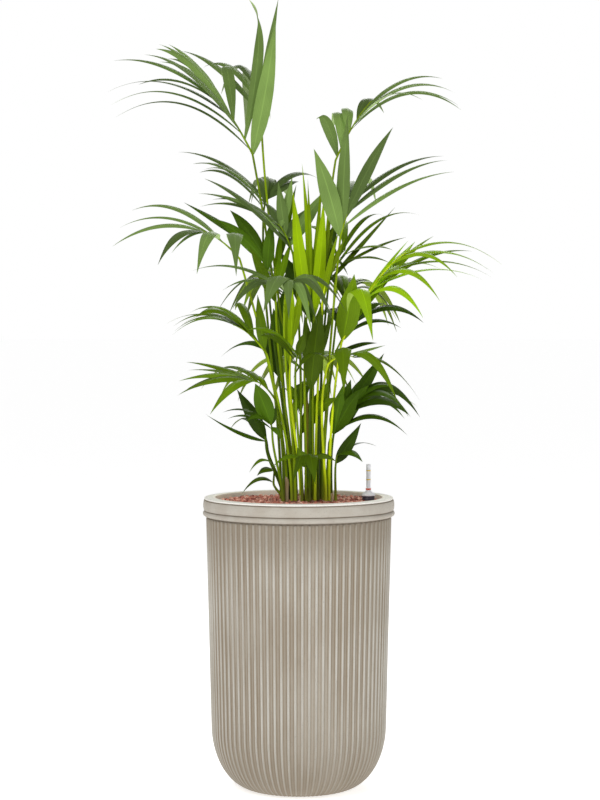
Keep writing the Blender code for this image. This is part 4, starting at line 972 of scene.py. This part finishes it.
def add_leaflet(made, frond, leaf, facing, twist, rule):
    """One folded, veined blade with an upper and a lower face, from the rib to its tip."""
    root, tip = np.array(rib_point(frond, leaf.at)), np.array(placed(*leaf.tip))
    over = root + (tip - root) * leaf.knee + np.array([2 * leaf.lean, 0, 2 * leaf.rise])
    t = np.linspace(0, 1, BLADE_STATIONS)[:, None]
    path, across, face = blade_axes(root, over, tip, facing, twist, t)
    length = float(np.linalg.norm(tip - root))
    sway = length * rule.uniform(-SWAY, SWAY)
    path = path + across * (sway * np.sin(math.pi * t))
    half = leaf.width / 2 * WIDER.get(frond.name, 1) * np.interp(t[:, 0], *zip(*BLADE_WIDTHS))[:, None]
    u = np.linspace(-1, 1, BLADE_COLUMNS)[None]
    fold = FOLD * rule.uniform(0.5, 1.3)
    ripple = RIPPLE * np.sin(t * length / 0.035 + rule.uniform(0, 6)) * np.sign(u)
    sink = half * (fold * np.abs(u) ** 1.25 + ripple * np.abs(u) ** 2)
    upper = path[:, None] + across[:, None] * (half * u)[..., None] - face[:, None] * sink[..., None]
    depth = BLADE_THICKNESS * (1 - u**2) * np.minimum(1, half / 0.004)
    places = np.stack(np.broadcast_arrays((u + 1) / 2, t * length * 10), axis=-1)
    shade = rule.randrange(len(SHADES))
    made.grid(upper, 2 * shade, places=places)
    made.grid(upper - face[:, None] * depth[..., None], 2 * shade + 1, flip=True, places=places)


def leaf_materials(tone):
    """Upper and lower face of a tone, at each shade."""
    upper, under = LEAF_COLOURS[tone]
    made = []
    for k, factor in enumerate(SHADES):
        made.append(leaf_material(f"leaf_{tone}_{k}", upper, factor, 0.42))
        made.append(leaf_material(f"leaf_{tone}_under_{k}", under, factor, 0.6))
    return made


def make_fronds():
    kinds = {tone: leaf_materials(tone) for tone in LEAF_COLOURS}
    skins = {name: stalk_material("stalk_" + name, colour) for name, colour in STALK_COLOURS.items()}
    worn = {name: skin for skin, names in STALKS.items() for name in names.split()}
    for frond in FRONDS:
        slot = "leaf_" + frond.tone
        made = Builder()
        for leaf in leaves_of(frond):
            add_leaflet(made, frond, *leaf)
        made.piece(frond.name + "_leaflets", kinds[LIGHTER.get(frond.name, frond.tone)], slot, frond.name)
        points, radii = stalk_path(frond, STALK_RINGS)
        height = np.array([p.z for p in points]) - FILL_TOP
        radii = np.array(radii) * (1 + 0.15 * np.exp(-height / 0.022))
        made = Builder()
        made.grid(tube_rows(points, radii, STALK_SIDES, 0.86), closed=True)
        made.piece(frond.name + "_stalk", [skins[worn.get(frond.name, "green")]], slot, frond.name)


def cane_radius(share, low_radius, high_radius):
    """A cane swells at its foot, steps in above each ring scar and closes at its top."""
    swell = 1 + 0.2 * math.exp(-share * 14)
    phase = (share * STEM_SCARS) % 1
    step = 0.07 * (1 - phase) + 0.05 * math.exp(-((phase - 0.02) / 0.05) ** 2)
    taper = max(0.12, min(1.0, (1 - share) / 0.1)) ** 0.5
    return (low_radius + (high_radius - low_radius) * share) * swell * (0.93 + step) * taper


def make_stems():
    """Canes built of clasping leaf bases, each with a seam along it."""
    turns = even_turns(STEM_SIDES)
    seam = 1 - 0.1 * np.exp(-((turns - math.pi * 1.3) / 0.22) ** 2) + 0.03 * np.cos(3 * turns)
    for name, (foot, top, low_radius, high_radius, colour) in STEMS.items():
        low, high = Vector((*foot, FILL_TOP + GAP)), placed(*top)
        bend = low + UP * (high - low).length * 0.4
        shares = [i / STEM_RINGS for i in range(STEM_RINGS + 1)]
        points = [cubic(low, bend, high - (high - low) * 0.3, high, t) for t in shares]
        radii = [cane_radius(t, low_radius, high_radius) for t in shares]
        made = Builder()
        made.grid(tube_rows(points, radii, STEM_SIDES, shape=seam[None]), closed=True)
        made.piece(name + "_cane", [stalk_material(name + "_skin", colour)], "stem", name)


def make_sheaths():
    """Dry papery leaf bases that still clasp some stalks."""
    rule = np.random.default_rng(5)
    dry = Nodes("dry_sheath", 0.85)
    fibres = dry.noise(160, 4, (1, 1, 0.08))
    dry.colour(dry.mix(dry.ramp(fibres, 0.35, 0.65), linear(190, 164, 118), linear(234, 220, 184)))
    dry.bump(fibres, 0.001, 0.6)
    made = Builder()
    turns = np.linspace(-2.2, 2.0, SHEATH_COLUMNS)
    inward = np.stack([-np.sin(turns), np.cos(turns), 0 * turns], axis=-1)
    for frond in [frond for frond in FRONDS if frond.name in SHEATHS]:
        x, y, z = np.array([list(p) for p in stalk_path(frond, 200)[0]]).T
        ragged = 1 - 0.35 * np.linspace(-1, 1, len(turns)) ** 2 - 0.16 * rule.random(len(turns))
        outer = []
        for share in np.linspace(0, 1, SHEATH_ROWS):
            level = FILL_TOP - 0.003 + SHEATHS[frond.name] * share * ragged
            axis = np.stack([np.interp(level, z, x), np.interp(level, z, y), level], axis=-1)
            outer.append(axis - inward * STALK_RADIUS[0] * frond.girth * (1.3 + 0.45 * share**3))
        made.grid(np.array(outer))
        made.grid(np.array(outer) + inward * 0.0004, flip=True)
    made.piece("dry_sheaths", [dry.material], "stem")


# Stage


def make_world():
    """White where it is looked at, and a softer light from all round on the plant."""
    world = bpy.data.worlds.new("studio")
    world.use_nodes = True
    tree = world.node_tree
    background = tree.nodes["Background"].inputs
    background["Color"].default_value = (1, 1, 1, 1)
    strength = tree.nodes.new("ShaderNodeMapRange")
    strength.inputs["To Min"].default_value = WORLD_LIGHT
    seen = tree.nodes.new("ShaderNodeLightPath").outputs["Is Camera Ray"]
    tree.links.new(seen, strength.inputs["Value"])
    tree.links.new(strength.outputs["Result"], background["Strength"])
    bpy.context.scene.world = world


def make_floor():
    made = bpy.data.meshes.new("floor")
    corners = [(-1, -1), (1, -1), (1, 1), (-1, 1)]
    made.from_pydata([(x * FLOOR_REACH, y * FLOOR_REACH, 0) for x, y in corners], [], [(0, 1, 2, 3)])
    made.materials.append(plain_material("floor_white", (246, 246, 246), 0.9, 30, 0.0001, 0.01,
                                         Emission_Color=(1, 1, 1, 1), Emission_Strength=FLOOR_GLOW))
    linked("floor", made)


def make_lights():
    for name, (place, size, power) in LIGHTS.items():
        data = bpy.data.lights.new(name, "AREA")
        data.shape = "DISK"
        data.size = size
        data.energy = power
        obj = linked(name, data)
        obj.location = place
        obj.rotation_euler = (Vector(LIGHT_AIM) - Vector(place)).to_track_quat("-Z", "Y").to_euler()


def make_camera():
    data = bpy.data.cameras.new("view")
    data.lens = LENS
    data.sensor_width = 36
    camera = linked("view", data)
    camera.location = (EYE_ACROSS, -EYE_DISTANCE, EYE_HEIGHT)
    camera.rotation_euler = (math.radians(90 - EYE_TILT), 0, 0)
    bpy.context.scene.camera = camera


bpy.context.scene.view_settings.view_transform = "Standard"
make_planter()
make_granules()
make_gauge_base()
make_gauge_tube()
make_gauge_float()
make_gauge_marks()
make_stems()
make_sheaths()
make_fronds()
make_world()
make_floor()
make_lights()
make_camera()
